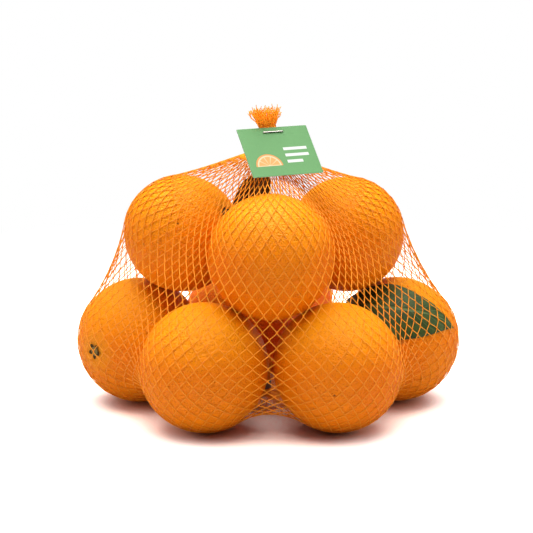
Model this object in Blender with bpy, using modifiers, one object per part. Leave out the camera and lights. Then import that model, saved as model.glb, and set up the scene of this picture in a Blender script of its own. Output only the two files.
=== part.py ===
"""A knotless net bag of nine oranges, closed at the top by a stapled card tag.

Metres, +Z up. The origin is on the floor under the middle of the bag, the front is -Y and +X is to
the right. Each fruit is placed by the fruits that it rests on, so that a change of a diameter or a
lean moves everything that touches it, and the collar and the bunch are placed from the fruits. The
net is a thin shell stretched over the pile, gathered into a collar at the top and pulled up into a
clipped bunch underneath.
"""

import math

import bmesh
import bpy
from mathutils import Matrix, Vector

MM = 0.001

# ---------------------------------------------------------------- driving dimensions, in metres
LOW_DIAMETER = 76.0 * MM             # the fruits of the bottom layer
BACK_DIAMETER = 74.0 * MM            # the last fruit at the back
TOP_FRONT_DIAMETER = 74.0 * MM
TOP_LEFT_DIAMETER = 70.5 * MM
TOP_RIGHT_DIAMETER = 70.0 * MM

FRUIT_GAP = 0.3 * MM                 # between fruits that touch
FRONT_GAP = 1.7 * MM                 # between the two front fruits
SIDE_SPLAY_LEFT = math.radians(33.2)     # how far the side fruits stand out from straight back
SIDE_SPLAY_RIGHT = math.radians(30.6)
MIDDLE_TURN = math.radians(34.4)     # the middle fruit, seen from the left side fruit, off +X
BACK_TURN = math.radians(17.0)       # the back fruit, seen from the middle fruit, off +Y
TOP_FRONT_LEAN = math.radians(7.2)   # how far the top front fruit leans back on the front pair
TOP_LEFT_TURN = math.radians(-36.4)  # how far each top side fruit has rolled about its two seats
TOP_RIGHT_TURN = math.radians(-48.0)

NET_WALL = 0.8 * MM                  # the strands' height, as a plain shell
NET_CLEAR = 1.4 * MM                 # net to fruit, which leaves room for a leaf
SEAT_GAP = 0.3 * MM                  # between pieces that rest on each other
BOTTOM_HOLE_RADIUS = 14.0 * MM       # where the net turns up into its bottom bunch

COLLAR_RADIUS = 7.0 * MM             # the soft ball of netting that the neck turns on
COLLAR_LEFT = 0.5 * MM               # its centre, from the middle of the three top fruits
COLLAR_FORWARD = 2.8 * MM
COLLAR_RISE = 11.7 * MM              # its centre, above the highest fruit
NECK_STEM_RADIUS = 4.8 * MM
NECK_STEM_RISE = 8.0 * MM            # round part above the collar's centre
NECK_FLAT_WIDTH = 11.0 * MM          # the bunch where the staple presses it flat
NECK_FLAT_DEPTH = 3.7 * MM
NECK_FLAT_HALF = 1.6 * MM            # how far it stays flat below the crown
NECK_PAST_EDGE = 1.5 * MM            # where the tuft starts, above the card's top edge
TUFT_WIDTH = 21.0 * MM
TUFT_DEPTH = 9.0 * MM
TUFT_RISE = 14.8 * MM
TUFT_BACK_LEAN = 0.30                # share of the card's lean that the tuft keeps

TAG_WIDTH = 45.0 * MM
TAG_HEIGHT = 34.7 * MM
TAG_WALL = 0.4 * MM
TAG_CREASE = 5.5 * MM                # below the top edge
TAG_CREASE_GAP = 0.8 * MM
TAG_YAW = math.radians(24.4)         # the right end turned back
TAG_TILT = math.radians(45.0)        # the top edge leaned back
TAG_FORWARD = 2.0 * MM               # middle of the top edge, in front of the collar's centre
TAG_RIGHT = 3.2 * MM
TAG_ABOVE = 20.6 * MM

STAPLE_CROWN = 12.7 * MM
STAPLE_WIRE = 0.5 * MM
STAPLE_DOWN = 3.6 * MM               # crown below the card's top edge
STAPLE_CLINCH = 4.6 * MM             # length of each folded end
LEG_HOLE_RADIUS = 0.6 * MM

BUNCH_STEM_RADIUS = 3.4 * MM
BUNCH_STEM_HEIGHT = 15.0 * MM
BUNCH_TAIL_RADIUS = 5.5 * MM
BUNCH_TAIL_HEIGHT = 32.0 * MM
BUNCH_WALL = 1.2 * MM
BUNCH_FLARE_STEPS = 6
CLIP_LENGTH = 4.5 * MM
CLIP_WALL = 0.9 * MM

BUTTON_RADIUS = 2.8 * MM
BUTTON_WALL = 0.45 * MM
BUTTON_GAP = 0.15 * MM

LEAF_WALL = 0.35 * MM
LEAF_GAP = 0.35 * MM
LEAF_RIGHT_LENGTH = 91.0 * MM
LEAF_RIGHT_WIDTH = 40.0 * MM
LEAF_RIGHT_BEFORE_SEAT = math.radians(24.0)         # the stalk, round from the fruit above
LEAF_RIGHT_SWEEP_SHARE = 0.94        # the blade's share of the arc that its length spans
LEAF_RIGHT_BELOW_SEAT = math.radians(23.0)          # the stalk, down from the fruit above
LEAF_RIGHT_DROP = math.radians(13.0)                # evenly, from stalk to tip
LEAF_RIGHT_TIP_DROP = math.radians(15.0)            # more of it, near the tip only
LEAF_RIGHT_TILT = math.radians(-12.0)
LEAF_TOP_LENGTH = 32.0 * MM
LEAF_TOP_BACK = 10.0 * MM            # its tip, behind the collar's centre
LEAF_TOP_WIDTH = 31.0 * MM
LEAF_TOP_ASIDE = 3.0 * MM             # its tip, to the right of the line to the collar
LEAF_TOP_BOW = 2.5 * MM
PETIOLE_WIDTH = 1.6 * MM

FRUIT_SIDES = 24
FRUIT_RINGS = 16

# Which way each fruit's stem end points: right, back, up. The top left fruit's, which carries the
# top leaf, is turned from where it touches the top front fruit towards the collar.
TOP_LEFT_STEM_TURN = math.radians(32.0)
STEM_TOWARDS = {
    "orange_front_left": (-0.20, 0.60, -0.77),
    "orange_front_right": (0.30, 0.55, -0.78),
    "orange_side_left": (-0.70, -0.71, -0.02),
    "orange_side_right": (-0.79, 0.18, 0.58),
    "orange_middle": (0.80, 0.05, 0.60),
    "orange_back": (0.50, 0.80, 0.10),
    "orange_top_front": (0.35, 0.75, 0.56),
    "orange_top_right": (0.30, 0.80, 0.50),
}

PART = "net_bag_of_oranges"


# ---------------------------------------------------------------- scene and materials
def clear_scene():
    for item in list(bpy.data.objects):
        bpy.data.objects.remove(item, do_unlink=True)


def new_collection(name):
    collection = bpy.data.collections.new(name)
    bpy.context.scene.collection.children.link(collection)
    return collection


def new_material(name, colour, roughness, metallic=0.0):
    material = bpy.data.materials.new(name)
    material.use_nodes = True
    shader = material.node_tree.nodes["Principled BSDF"]
    shader.inputs["Base Color"].default_value = (*colour, 1.0)
    shader.inputs["Roughness"].default_value = roughness
    shader.inputs["Metallic"].default_value = metallic
    return material


def add_piece(name, mesh, material, matrix=None):
    """A named object of the part, smooth where its faces meet at a low angle."""
    piece = bpy.data.objects.new(name, mesh)
    PARTS.objects.link(piece)
    mesh.materials.append(material)
    mesh.shade_smooth()
    mesh.set_sharp_from_angle(angle=math.radians(40))
    if matrix is not None:
        piece.matrix_world = matrix
    return piece


def add_cutter(name, mesh, matrix=None):
    cutter = bpy.data.objects.new(name, mesh)
    CUTTERS.objects.link(cutter)
    cutter.display_type = "WIRE"
    cutter.hide_render = True
    if matrix is not None:
        cutter.matrix_world = matrix
    return cutter


def cut(piece, cutter):
    modifier = piece.modifiers.new(cutter.name, "BOOLEAN")
    modifier.operation = "DIFFERENCE"
    modifier.object = cutter


# ---------------------------------------------------------------- meshes from Blender's tools
def finish(bm, name):
    mesh = bpy.data.meshes.new(name)
    bm.to_mesh(mesh)
    bm.free()
    return mesh


def ball_mesh(name, radius):
    bm = bmesh.new()
    bmesh.ops.create_uvsphere(bm, u_segments=FRUIT_SIDES, v_segments=FRUIT_RINGS, radius=radius)
    return finish(bm, name)


def disc_mesh(name, radius, height, sides):
    bm = bmesh.new()
    bmesh.ops.create_cone(bm, cap_ends=True, segments=sides, radius1=radius, radius2=radius,
                          depth=height)
    return finish(bm, name)


def box_mesh(name, low, high):
    """A box between two corners."""
    size = high - low
    middle = (high + low) / 2
    bm = bmesh.new()
    bmesh.ops.create_cube(bm, size=1.0, matrix=Matrix.Translation(middle) @ Matrix.Diagonal(size).to_4x4())
    return finish(bm, name)


def loft_mesh(name, rings):
    """A closed solid through rings of equal count, each end closed by one face."""
    bm = bmesh.new()
    rows = [[bm.verts.new(point) for point in ring] for ring in rings]
    count = len(rows[0])
    for lower, upper in zip(rows, rows[1:]):
        for i in range(count):
            j = (i + 1) % count
            bm.faces.new((lower[i], lower[j], upper[j], upper[i]))
    bm.faces.new(list(reversed(rows[0])))
    bm.faces.new(rows[-1])
    bmesh.ops.recalc_face_normals(bm, faces=bm.faces)
    return finish(bm, name)


def turned_piece(name, profile, material, location):
    """A solid of revolution about a vertical line: the profile runs down its outer side."""
    mesh = bpy.data.meshes.new(name)
    edges = [(i, i + 1) for i in range(len(profile) - 1)]
    mesh.from_pydata([(x, 0.0, z) for x, z in profile], edges, [])
    piece = add_piece(name, mesh, material, Matrix.Translation(location))
    screw = piece.modifiers.new("turn", "SCREW")
    screw.axis = "Z"
    screw.steps = 24
    screw.render_steps = 24
    screw.use_merge_vertices = True
    screw.merge_threshold = 0.00001
    screw.use_smooth_shade = True
    return piece


# ---------------------------------------------------------------- where the fruits lie
def ball_touching(first, second, radius, turn, reference):
    """Centre of a ball that touches two others, rolled about their line from a reference side."""
    line = second["centre"] - first["centre"]
    span = line.length
    along = line / span
    reach_first = first["radius"] + radius + FRUIT_GAP
    reach_second = second["radius"] + radius + FRUIT_GAP
    foot = (reach_first ** 2 - reach_second ** 2 + span ** 2) / (2 * span)
    height = math.sqrt(reach_first ** 2 - foot ** 2)
    side = (reference - reference.dot(along) * along).normalized()
    across = along.cross(side)
    return first["centre"] + foot * along + height * (math.cos(turn) * side + math.sin(turn) * across)


def on_floor(x, y, radius):
    return {"centre": Vector((x, y, NET_WALL + SEAT_GAP + radius)), "radius": radius}


def beside(fruit, radius, angle):
    """A fruit on the floor that touches another, the given angle round from +X."""
    reach = fruit["radius"] + radius + FRUIT_GAP
    x = fruit["centre"].x + reach * math.cos(angle)
    y = fruit["centre"].y + reach * math.sin(angle)
    return on_floor(x, y, radius)


def centre_on_origin(fruits):
    """Slide the pile over the floor until the middle of its width and depth is at the origin."""
    for axis in (0, 1):
        low = min(fruit["centre"][axis] - fruit["radius"] for fruit in fruits.values())
        high = max(fruit["centre"][axis] + fruit["radius"] for fruit in fruits.values())
        for fruit in fruits.values():
            fruit["centre"][axis] -= (low + high) / 2


def middle_of(fruits, names):
    """The mean of the named fruits' centres, on the floor."""
    total = sum((fruits[name]["centre"] for name in names), Vector())
    return Vector((total.x / len(names), total.y / len(names), 0.0))


def collar_over(fruits):
    """The collar's centre: over the middle of the top fruits, a little above the highest one."""
    top = max(fruit["centre"].z + fruit["radius"] for fruit in fruits.values())
    middle = middle_of(fruits, ("orange_top_front", "orange_top_left", "orange_top_right"))
    return middle + Vector((-COLLAR_LEFT, -COLLAR_FORWARD, top + COLLAR_RISE))


def add_stems(fruits, collar):
    """Give each fruit the unit vector of its stem end."""
    for name, towards in STEM_TOWARDS.items():
        fruits[name]["stem"] = Vector(towards).normalized()
    own = fruits["orange_top_left"]
    touch = (fruits["orange_top_front"]["centre"] - own["centre"]).normalized()
    rise = collar - own["centre"]
    aside = (rise - rise.dot(touch) * touch).normalized()
    own["stem"] = math.cos(TOP_LEFT_STEM_TURN) * touch + math.sin(TOP_LEFT_STEM_TURN) * aside


def bunch_between(fruits):
    """The bunch stands in the hollow that the five low fruits at the front leave between them."""
    return middle_of(fruits, ("orange_front_left", "orange_front_right", "orange_side_left",
                              "orange_side_right", "orange_middle"))


def fruit_layout():
    low = LOW_DIAMETER / 2
    half = low + FRONT_GAP / 2
    quarter = math.pi / 2
    fruits = {}
    fruits["orange_front_left"] = on_floor(-half, 0.0, low)
    fruits["orange_front_right"] = on_floor(half, 0.0, low)
    fruits["orange_side_left"] = beside(fruits["orange_front_left"], low, quarter + SIDE_SPLAY_LEFT)
    fruits["orange_side_right"] = beside(fruits["orange_front_right"], low, quarter - SIDE_SPLAY_RIGHT)
    fruits["orange_middle"] = beside(fruits["orange_side_left"], low, MIDDLE_TURN)
    fruits["orange_back"] = beside(fruits["orange_middle"], BACK_DIAMETER / 2, quarter - BACK_TURN)
    seats = (
        ("orange_top_front", "orange_front_left", "orange_front_right", TOP_FRONT_DIAMETER,
         -TOP_FRONT_LEAN, (0, 0, 1)),
        ("orange_top_left", "orange_side_left", "orange_top_front", TOP_LEFT_DIAMETER,
         TOP_LEFT_TURN, (-1, 0, 1)),
        ("orange_top_right", "orange_top_front", "orange_side_right", TOP_RIGHT_DIAMETER,
         TOP_RIGHT_TURN, (1, 0, 1)),
    )
    for name, first, second, diameter, turn, reference in seats:
        centre = ball_touching(fruits[first], fruits[second], diameter / 2, turn, Vector(reference))
        fruits[name] = {"centre": centre, "radius": diameter / 2}
    centre_on_origin(fruits)
    return fruits


def make_fruits(fruits):
    for name, fruit in fruits.items():
        mesh = ball_mesh(name, fruit["radius"])
        add_piece(name, mesh, PEEL, Matrix.Translation(fruit["centre"]))
        stem = fruit["stem"]
        turn = stem.to_track_quat("Z", "Y").to_matrix().to_4x4()
        lift = fruit["radius"] + BUTTON_GAP + BUTTON_WALL / 2
        place = Matrix.Translation(fruit["centre"] + lift * stem) @ turn
        button = name.replace("orange", "button")
        add_piece(button, disc_mesh(button, BUTTON_RADIUS, BUTTON_WALL, 12), BUTTON, place)


# ---------------------------------------------------------------- the leaves
def leaf_half_width(share, width):
    """Half the width at a share of the length: a thin stalk, then a blade with a pointed end."""
    return max(PETIOLE_WIDTH / 2 * (1.0 - 0.6 * share), width / 2 * math.sin(math.pi * share))


def leaf_piece(name, place, columns, rows):
    """A plate from a grid of shares along and across the leaf, thickened outwards."""
    bm = bmesh.new()
    bmesh.ops.create_grid(bm, x_segments=columns, y_segments=rows, size=1.0)
    for vert in bm.verts:
        vert.co = place((vert.co.x + 1) / 2, vert.co.y)
    piece = add_piece(name, finish(bm, name), LEAF)
    solid = piece.modifiers.new("wall", "SOLIDIFY")
    solid.thickness = LEAF_WALL
    solid.offset = 1.0
    solid.use_even_offset = True
    return piece


def make_leaf_right(fruit, above):
    """A leaf round the front of the right side fruit, which keeps clear of the fruit above it."""
    radius = fruit["radius"] + LEAF_GAP
    tilt = Matrix.Rotation(LEAF_RIGHT_TILT, 3, "X")
    seat = tilt.transposed() @ (above["centre"] - fruit["centre"]).normalized()
    start_latitude = math.asin(seat.z) - LEAF_RIGHT_BELOW_SEAT
    start_longitude = math.atan2(seat.x, -seat.y) - LEAF_RIGHT_BEFORE_SEAT
    middle_latitude = start_latitude - LEAF_RIGHT_DROP / 2
    sweep = LEAF_RIGHT_SWEEP_SHARE * LEAF_RIGHT_LENGTH / (radius * math.cos(middle_latitude))

    def place(share, side):
        half = leaf_half_width(share, LEAF_RIGHT_WIDTH) / radius
        fall = LEAF_RIGHT_DROP * share + LEAF_RIGHT_TIP_DROP * share ** 6
        latitude = start_latitude - fall + side * half
        longitude = start_longitude + sweep * share
        direction = Vector((math.cos(latitude) * math.sin(longitude),
                            -math.cos(latitude) * math.cos(longitude),
                            math.sin(latitude)))
        return fruit["centre"] + radius * (tilt @ direction)

    leaf_piece("leaf_right", place, 28, 8)


def make_leaf_top(fruit, front, collar):
    """A leaf from the top left fruit's stem end to just under the collar, clear of the front fruit."""
    lift = fruit["radius"] + BUTTON_GAP + BUTTON_WALL + 2 * SEAT_GAP + LEAF_WALL
    base = fruit["centre"] + lift * fruit["stem"]
    rise = (collar + Vector((0.0, LEAF_TOP_BACK, -COLLAR_RADIUS - LEAF_WALL)) - base).normalized()
    towards_front = (front["centre"] - base).normalized()
    rise = (rise - max(0.0, rise.dot(towards_front)) * towards_front).normalized()
    across = rise.cross(towards_front).normalized()
    bend = across.cross(rise).normalized()

    def place(share, side):
        half = leaf_half_width(share ** 1.1, LEAF_TOP_WIDTH)
        bow = LEAF_TOP_BOW * math.sin(math.pi * share)
        aside = Vector((LEAF_TOP_ASIDE * share, 0.0, 0.0))
        return base + aside + LEAF_TOP_LENGTH * share * rise + side * half * across + bow * bend

    leaf_piece("leaf_top", place, 16, 6)


# ---------------------------------------------------------------- the net
def make_net_body(fruits, collar, bunch):
    """The hull of the pile and the collar's ring, opened at the ring, with a wall, and its bottom hole."""
    bm = bmesh.new()
    for fruit in fruits.values():
        centre = fruit["centre"] + Vector((0.0, 0.0, NET_CLEAR - SEAT_GAP))
        bmesh.ops.create_uvsphere(bm, u_segments=FRUIT_SIDES, v_segments=FRUIT_RINGS,
                                  radius=fruit["radius"] + NET_CLEAR, matrix=Matrix.Translation(centre))
    bmesh.ops.create_circle(bm, segments=FRUIT_SIDES, radius=COLLAR_RADIUS + SEAT_GAP,
                            matrix=Matrix.Translation(collar))
    hull = bmesh.ops.convex_hull(bm, input=bm.verts)
    spare = set(hull["geom_interior"]) | set(hull["geom_unused"])
    bmesh.ops.delete(bm, geom=[v for v in spare if isinstance(v, bmesh.types.BMVert)], context="VERTS")
    hull_faces = {face for face in hull["geom"] if isinstance(face, bmesh.types.BMFace) and face.is_valid}
    spare_faces = [face for face in bm.faces if face not in hull_faces]
    bmesh.ops.delete(bm, geom=spare_faces, context="FACES")
    top = [face for face in bm.faces if all(abs(v.co.z - collar.z) < 0.01 * MM for v in face.verts)]
    bmesh.ops.delete(bm, geom=top, context="FACES")
    bmesh.ops.recalc_face_normals(bm, faces=bm.faces)
    bmesh.ops.dissolve_limit(bm, angle_limit=math.radians(0.5), verts=bm.verts, edges=bm.edges)
    bmesh.ops.triangulate(bm, faces=bm.faces)
    piece = add_piece("net_body", finish(bm, "net_body"), NET)
    wall = piece.modifiers.new("wall", "SOLIDIFY")
    wall.thickness = NET_WALL
    wall.offset = 1.0
    wall.use_even_offset = True
    hole = disc_mesh("bottom_hole", BOTTOM_HOLE_RADIUS, 6 * NET_WALL, 32)
    cut(piece, add_cutter("bottom_hole", hole, Matrix.Translation(bunch)))


def make_bottom_bunch(location):
    """The net pulled up into a bunch, hollow underneath, with its cut tail above the clip."""
    rim = BOTTOM_HOLE_RADIUS - SEAT_GAP
    stem = BUNCH_STEM_RADIUS
    stem_low = BUNCH_STEM_HEIGHT - CLIP_LENGTH / 2
    stem_high = BUNCH_STEM_HEIGHT + CLIP_LENGTH / 2
    top = stem_low - NET_WALL
    under = stem_low - 2 * BUNCH_WALL
    shoulder = (stem_high + BUNCH_TAIL_HEIGHT) / 2
    profile = [(0.0, BUNCH_TAIL_HEIGHT), (BUNCH_TAIL_RADIUS, BUNCH_TAIL_HEIGHT),
               (BUNCH_TAIL_RADIUS * 0.85, shoulder), (stem, stem_high + NET_WALL), (stem, top)]
    for i in range(1, BUNCH_FLARE_STEPS + 1):
        turn = math.pi / 2 * i / BUNCH_FLARE_STEPS
        profile.append((rim - (rim - stem) * math.cos(turn),
                        NET_WALL + (top - NET_WALL) * (1 - math.sin(turn))))
    profile.append((rim, 0.0))
    for i in range(BUNCH_FLARE_STEPS - 1, 0, -1):
        turn = math.pi / 2 * i / BUNCH_FLARE_STEPS
        profile.append(((rim - BUNCH_WALL) * (1 - math.cos(turn)) + BUNCH_WALL / 3,
                        under * (1 - math.sin(turn))))
    profile.append((0.0, stem_low - BUNCH_WALL))
    turned_piece("net_bottom_bunch", profile, NET, location)

    inner = stem + SEAT_GAP
    outer = inner + CLIP_WALL
    chamfer = CLIP_WALL / 3
    band = [(inner, stem_high), (outer - chamfer, stem_high), (outer, stem_high - chamfer),
            (outer, stem_low + chamfer), (outer - chamfer, stem_low), (inner, stem_low),
            (inner, stem_high)]
    turned_piece("bottom_clip", band, METAL, location)


# ---------------------------------------------------------------- the neck, the tag and the staple
def tag_frame(collar):
    """The card's frame: middle of its top edge on its front face, X along the edge, Y into the card."""
    top = collar + Vector((TAG_RIGHT, -TAG_FORWARD, TAG_ABOVE))
    turn = Matrix.Rotation(TAG_YAW, 4, "Z") @ Matrix.Rotation(-TAG_TILT, 4, "X")
    return Matrix.Translation(top) @ turn


def oval(centre, wide, deep, half_width, half_depth, sides=24):
    """A ring of points about a centre, in the plane of two unit vectors."""
    points = []
    for i in range(sides):
        turn = 2 * math.pi * i / sides
        points.append(centre + wide * half_width * math.cos(turn) + deep * half_depth * math.sin(turn))
    return points


def make_neck(collar, frame):
    """The ball of the collar, and the bunch above it that is pressed flat and frays at its end."""
    add_piece("net_collar", ball_mesh("net_collar", COLLAR_RADIUS), NET, Matrix.Translation(collar))
    wide = frame.col[0].xyz
    into = frame.col[1].xyz
    up_card = frame.col[2].xyz
    bunch_middle = TAG_WALL + SEAT_GAP + NECK_FLAT_DEPTH / 2
    pressed = frame @ Vector((0.0, bunch_middle, -STAPLE_DOWN))
    edge = frame @ Vector((0.0, bunch_middle, NECK_PAST_EDGE))
    right = Vector((1.0, 0.0, 0.0))
    back = Vector((0.0, 1.0, 0.0))
    up = Vector((0.0, 0.0, 1.0))
    lean = (up + TUFT_BACK_LEAN * up_card).normalized()
    tip = edge + lean * TUFT_RISE
    stem = collar + up * NECK_STEM_RISE
    half_width = NECK_FLAT_WIDTH / 2
    half_depth = NECK_FLAT_DEPTH / 2
    rings = [
        oval(collar, right, back, NECK_STEM_RADIUS, NECK_STEM_RADIUS),
        oval(stem, right, back, NECK_STEM_RADIUS, NECK_STEM_RADIUS),
        oval(pressed - up_card * NECK_FLAT_HALF, wide, into, half_width, half_depth),
        oval(edge, wide, into, half_width, half_depth),
        oval(edge + lean * TUFT_RISE * 0.3, wide, (into + back).normalized(),
             half_width * 1.15, half_depth * 1.3),
        oval(edge + lean * TUFT_RISE * 0.6, wide, back, TUFT_WIDTH * 0.42, TUFT_DEPTH * 0.42),
        oval(tip, wide, back, TUFT_WIDTH / 2, TUFT_DEPTH / 2),
    ]
    neck = add_piece("net_neck", loft_mesh("net_neck", rings), NET)
    socket = ball_mesh("collar_room", COLLAR_RADIUS + SEAT_GAP)
    cut(neck, add_cutter("collar_room", socket, Matrix.Translation(collar)))


def make_tag(frame):
    """One card, creased under the staple: the strip stays on the neck and the flap lifts."""
    half = TAG_WIDTH / 2
    strip = box_mesh("tag_strip", Vector((-half, 0.0, -TAG_CREASE)), Vector((half, TAG_WALL, 0.0)))
    strip_piece = add_piece("tag_strip", strip, CARD, frame)
    top = -(TAG_CREASE + TAG_CREASE_GAP)
    flap = box_mesh("tag_flap", Vector((-half, 0.0, -TAG_HEIGHT)), Vector((half, TAG_WALL, top)))
    add_piece("tag_flap", flap, CARD, frame)
    for name, side in (("leg_hole_left", -1), ("leg_hole_right", 1)):
        hole = disc_mesh(name, LEG_HOLE_RADIUS, 6 * TAG_WALL, 16)
        turn = Matrix.Rotation(math.pi / 2, 4, "X")
        spot = Matrix.Translation((side * STAPLE_CROWN / 2, 0.0, -STAPLE_DOWN))
        cut(strip_piece, add_cutter(name, hole, frame @ spot @ turn))


def make_staple(frame):
    """Crown on the card, legs down both sides of the bunch, ends folded in behind it."""
    front = -(SEAT_GAP / 2 + STAPLE_WIRE / 2)
    behind = TAG_WALL + 2 * SEAT_GAP + NECK_FLAT_DEPTH + STAPLE_WIRE / 2
    half = STAPLE_CROWN / 2
    corner = STAPLE_WIRE
    outline = [
        (-half + STAPLE_CLINCH, behind + 0.1 * MM), (-half + corner, behind), (-half, behind - corner),
        (-half, front + corner), (-half + corner * 0.3, front + corner * 0.3), (-half + corner, front),
    ]
    points = outline + [(-x, y) for x, y in reversed(outline)]
    curve = bpy.data.curves.new("staple_wire", "CURVE")
    curve.dimensions = "3D"
    curve.bevel_depth = STAPLE_WIRE / 2
    curve.bevel_resolution = 2
    curve.use_fill_caps = True
    spline = curve.splines.new("POLY")
    spline.points.add(len(points) - 1)
    for point, (x, y) in zip(spline.points, points):
        point.co = (x, y, -STAPLE_DOWN, 1.0)
    wire = bpy.data.objects.new("staple_wire", curve)
    bpy.context.scene.collection.objects.link(wire)
    bpy.context.view_layer.update()
    shape = wire.evaluated_get(bpy.context.evaluated_depsgraph_get())
    mesh = bpy.data.meshes.new_from_object(shape)
    bpy.data.objects.remove(wire)
    bm = bmesh.new()
    bm.from_mesh(mesh)
    bmesh.ops.remove_doubles(bm, verts=bm.verts, dist=0.001 * MM)
    bmesh.ops.recalc_face_normals(bm, faces=bm.faces)
    bm.to_mesh(mesh)
    bm.free()
    mesh.materials.clear()
    add_piece("staple", mesh, METAL, frame)


# ---------------------------------------------------------------- build
clear_scene()
PARTS = new_collection(PART)
CUTTERS = new_collection("cutters")
PEEL = new_material("peel", (0.86, 0.30, 0.02), 0.42)
BUTTON = new_material("stem_button", (0.20, 0.17, 0.06), 0.80)
LEAF = new_material("leaf", (0.05, 0.11, 0.03), 0.45)
NET = new_material("netting", (0.90, 0.32, 0.05), 0.40)
CARD = new_material("card", (0.20, 0.51, 0.20), 0.60)
METAL = new_material("bright_steel", (0.62, 0.61, 0.60), 0.25, 1.0)

layout = fruit_layout()
bunch_place = bunch_between(layout)
collar_place = collar_over(layout)
add_stems(layout, collar_place)
card_frame = tag_frame(collar_place)

make_fruits(layout)
make_leaf_right(layout["orange_side_right"], layout["orange_top_right"])
make_leaf_top(layout["orange_top_left"], layout["orange_top_front"], collar_place)
make_net_body(layout, collar_place, bunch_place)
make_bottom_bunch(bunch_place)
make_neck(collar_place, card_frame)
make_tag(card_frame)
make_staple(card_frame)
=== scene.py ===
# %% [markdown]
# # A net bag of oranges
# Nine oranges are heaped in two layers, and a tube of orange plastic net is pulled tight over
# them. The tube is closed at both ends: below by a crimped metal band, above by a green card and a
# staple. A net has no shape of its own, so the fruit comes first and the net is then pulled over
# it. The fixed frame holds every piece's place and size, so the lesson starts by loading it.

# %% Load the fixed frame
import math

import bpy
import numpy as np
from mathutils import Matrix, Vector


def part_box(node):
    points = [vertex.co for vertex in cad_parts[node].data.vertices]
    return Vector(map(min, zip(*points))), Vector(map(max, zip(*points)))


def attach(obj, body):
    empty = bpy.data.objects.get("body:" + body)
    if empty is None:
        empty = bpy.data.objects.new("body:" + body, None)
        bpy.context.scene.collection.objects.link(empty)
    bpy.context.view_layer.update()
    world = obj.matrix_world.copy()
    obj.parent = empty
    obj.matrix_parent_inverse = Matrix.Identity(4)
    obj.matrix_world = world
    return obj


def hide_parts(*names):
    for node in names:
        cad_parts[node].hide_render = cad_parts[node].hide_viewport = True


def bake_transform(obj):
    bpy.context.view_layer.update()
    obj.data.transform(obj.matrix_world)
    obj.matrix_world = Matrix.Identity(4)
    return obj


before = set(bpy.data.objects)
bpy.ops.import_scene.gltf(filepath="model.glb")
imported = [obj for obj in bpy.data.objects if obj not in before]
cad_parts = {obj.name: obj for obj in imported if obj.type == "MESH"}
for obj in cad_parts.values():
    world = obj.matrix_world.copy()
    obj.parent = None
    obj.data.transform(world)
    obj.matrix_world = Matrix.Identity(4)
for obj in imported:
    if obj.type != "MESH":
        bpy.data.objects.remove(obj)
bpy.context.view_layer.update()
MM = 0.001


# %% [markdown]
# ## Places that the rest is built on
# A fruit's centre and radius come from its node's box, and its stem end from its button's box.
# The neck turns about the collar's centre, and the card hangs in a frame of its own: one direction
# along its top edge, one into the card, and one up its face.

# %% Read places from the frame
def box_of(node):
    """Lowest and highest corner of a node, as two numpy points."""
    low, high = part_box(node)
    return np.array(low), np.array(high)


def middle_of(node):
    """The middle of a node's box."""
    low, high = box_of(node)
    return (low + high) / 2


def unit(vector):
    """The vector, or each row of an array of vectors, divided by its own length."""
    length = np.linalg.norm(vector, axis=-1, keepdims=True)
    return vector / np.maximum(length, 1e-12)


def moved(start, *moves):
    """start + distance * direction for each pair, where a distance may be a whole array."""
    for distance, direction in moves:
        start = start + np.multiply.outer(distance, direction)
    return start


PLACES = ("front_left", "front_right", "side_left", "side_right", "middle", "back",
          "top_front", "top_left", "top_right")
fruits = {}
for place in PLACES:
    low, high = box_of("orange_" + place)
    centre = (low + high) / 2
    fruits[place] = {"centre": centre, "radius": (high[2] - low[2]) / 2,
                     "stem": unit(middle_of("button_" + place) - centre)}
    print(place, np.round(centre / MM, 1), "radius", round(fruits[place]["radius"] / MM, 2))

collar = middle_of("net_collar")
bunch = middle_of("bottom_clip") * (1, 1, 0)

CARD_YAW = math.radians(24.4)
CARD_TILT = math.radians(45.0)
card_wide = np.array((math.cos(CARD_YAW), math.sin(CARD_YAW), 0.0))
level_into = np.array((-math.sin(CARD_YAW), math.cos(CARD_YAW), 0.0))
straight_up = np.array((0.0, 0.0, 1.0))
card_into = level_into * math.cos(CARD_TILT) - straight_up * math.sin(CARD_TILT)
card_up = level_into * math.sin(CARD_TILT) + straight_up * math.cos(CARD_TILT)
card_top = collar + np.array((3.2, -2.0, 20.6)) * MM


def on_card(across, into, up):
    """A point from distances along the card's top edge, into the card and up its face."""
    return moved(card_top, (across, card_wide), (into, card_into), (up, card_up))


print("collar", np.round(collar / MM, 2), "card's top edge", np.round(card_top / MM, 2))

# %% [markdown]
# ## One mesh builder for everything
# Fruits, leaves, card, wire and net strands are all closed skins: rings of points, one ring after
# another, with the two ends closed by a fan. So one builder serves them all. It takes a whole array
# of rings at once, strand by strand, and writes the arrays straight into the mesh.

# %% The skin builder
def in_scene(name, data):
    """A new object in the scene that shows a mesh, a lamp or a camera."""
    made = bpy.data.objects.new(name, data)
    bpy.context.scene.collection.objects.link(made)
    return made


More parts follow.
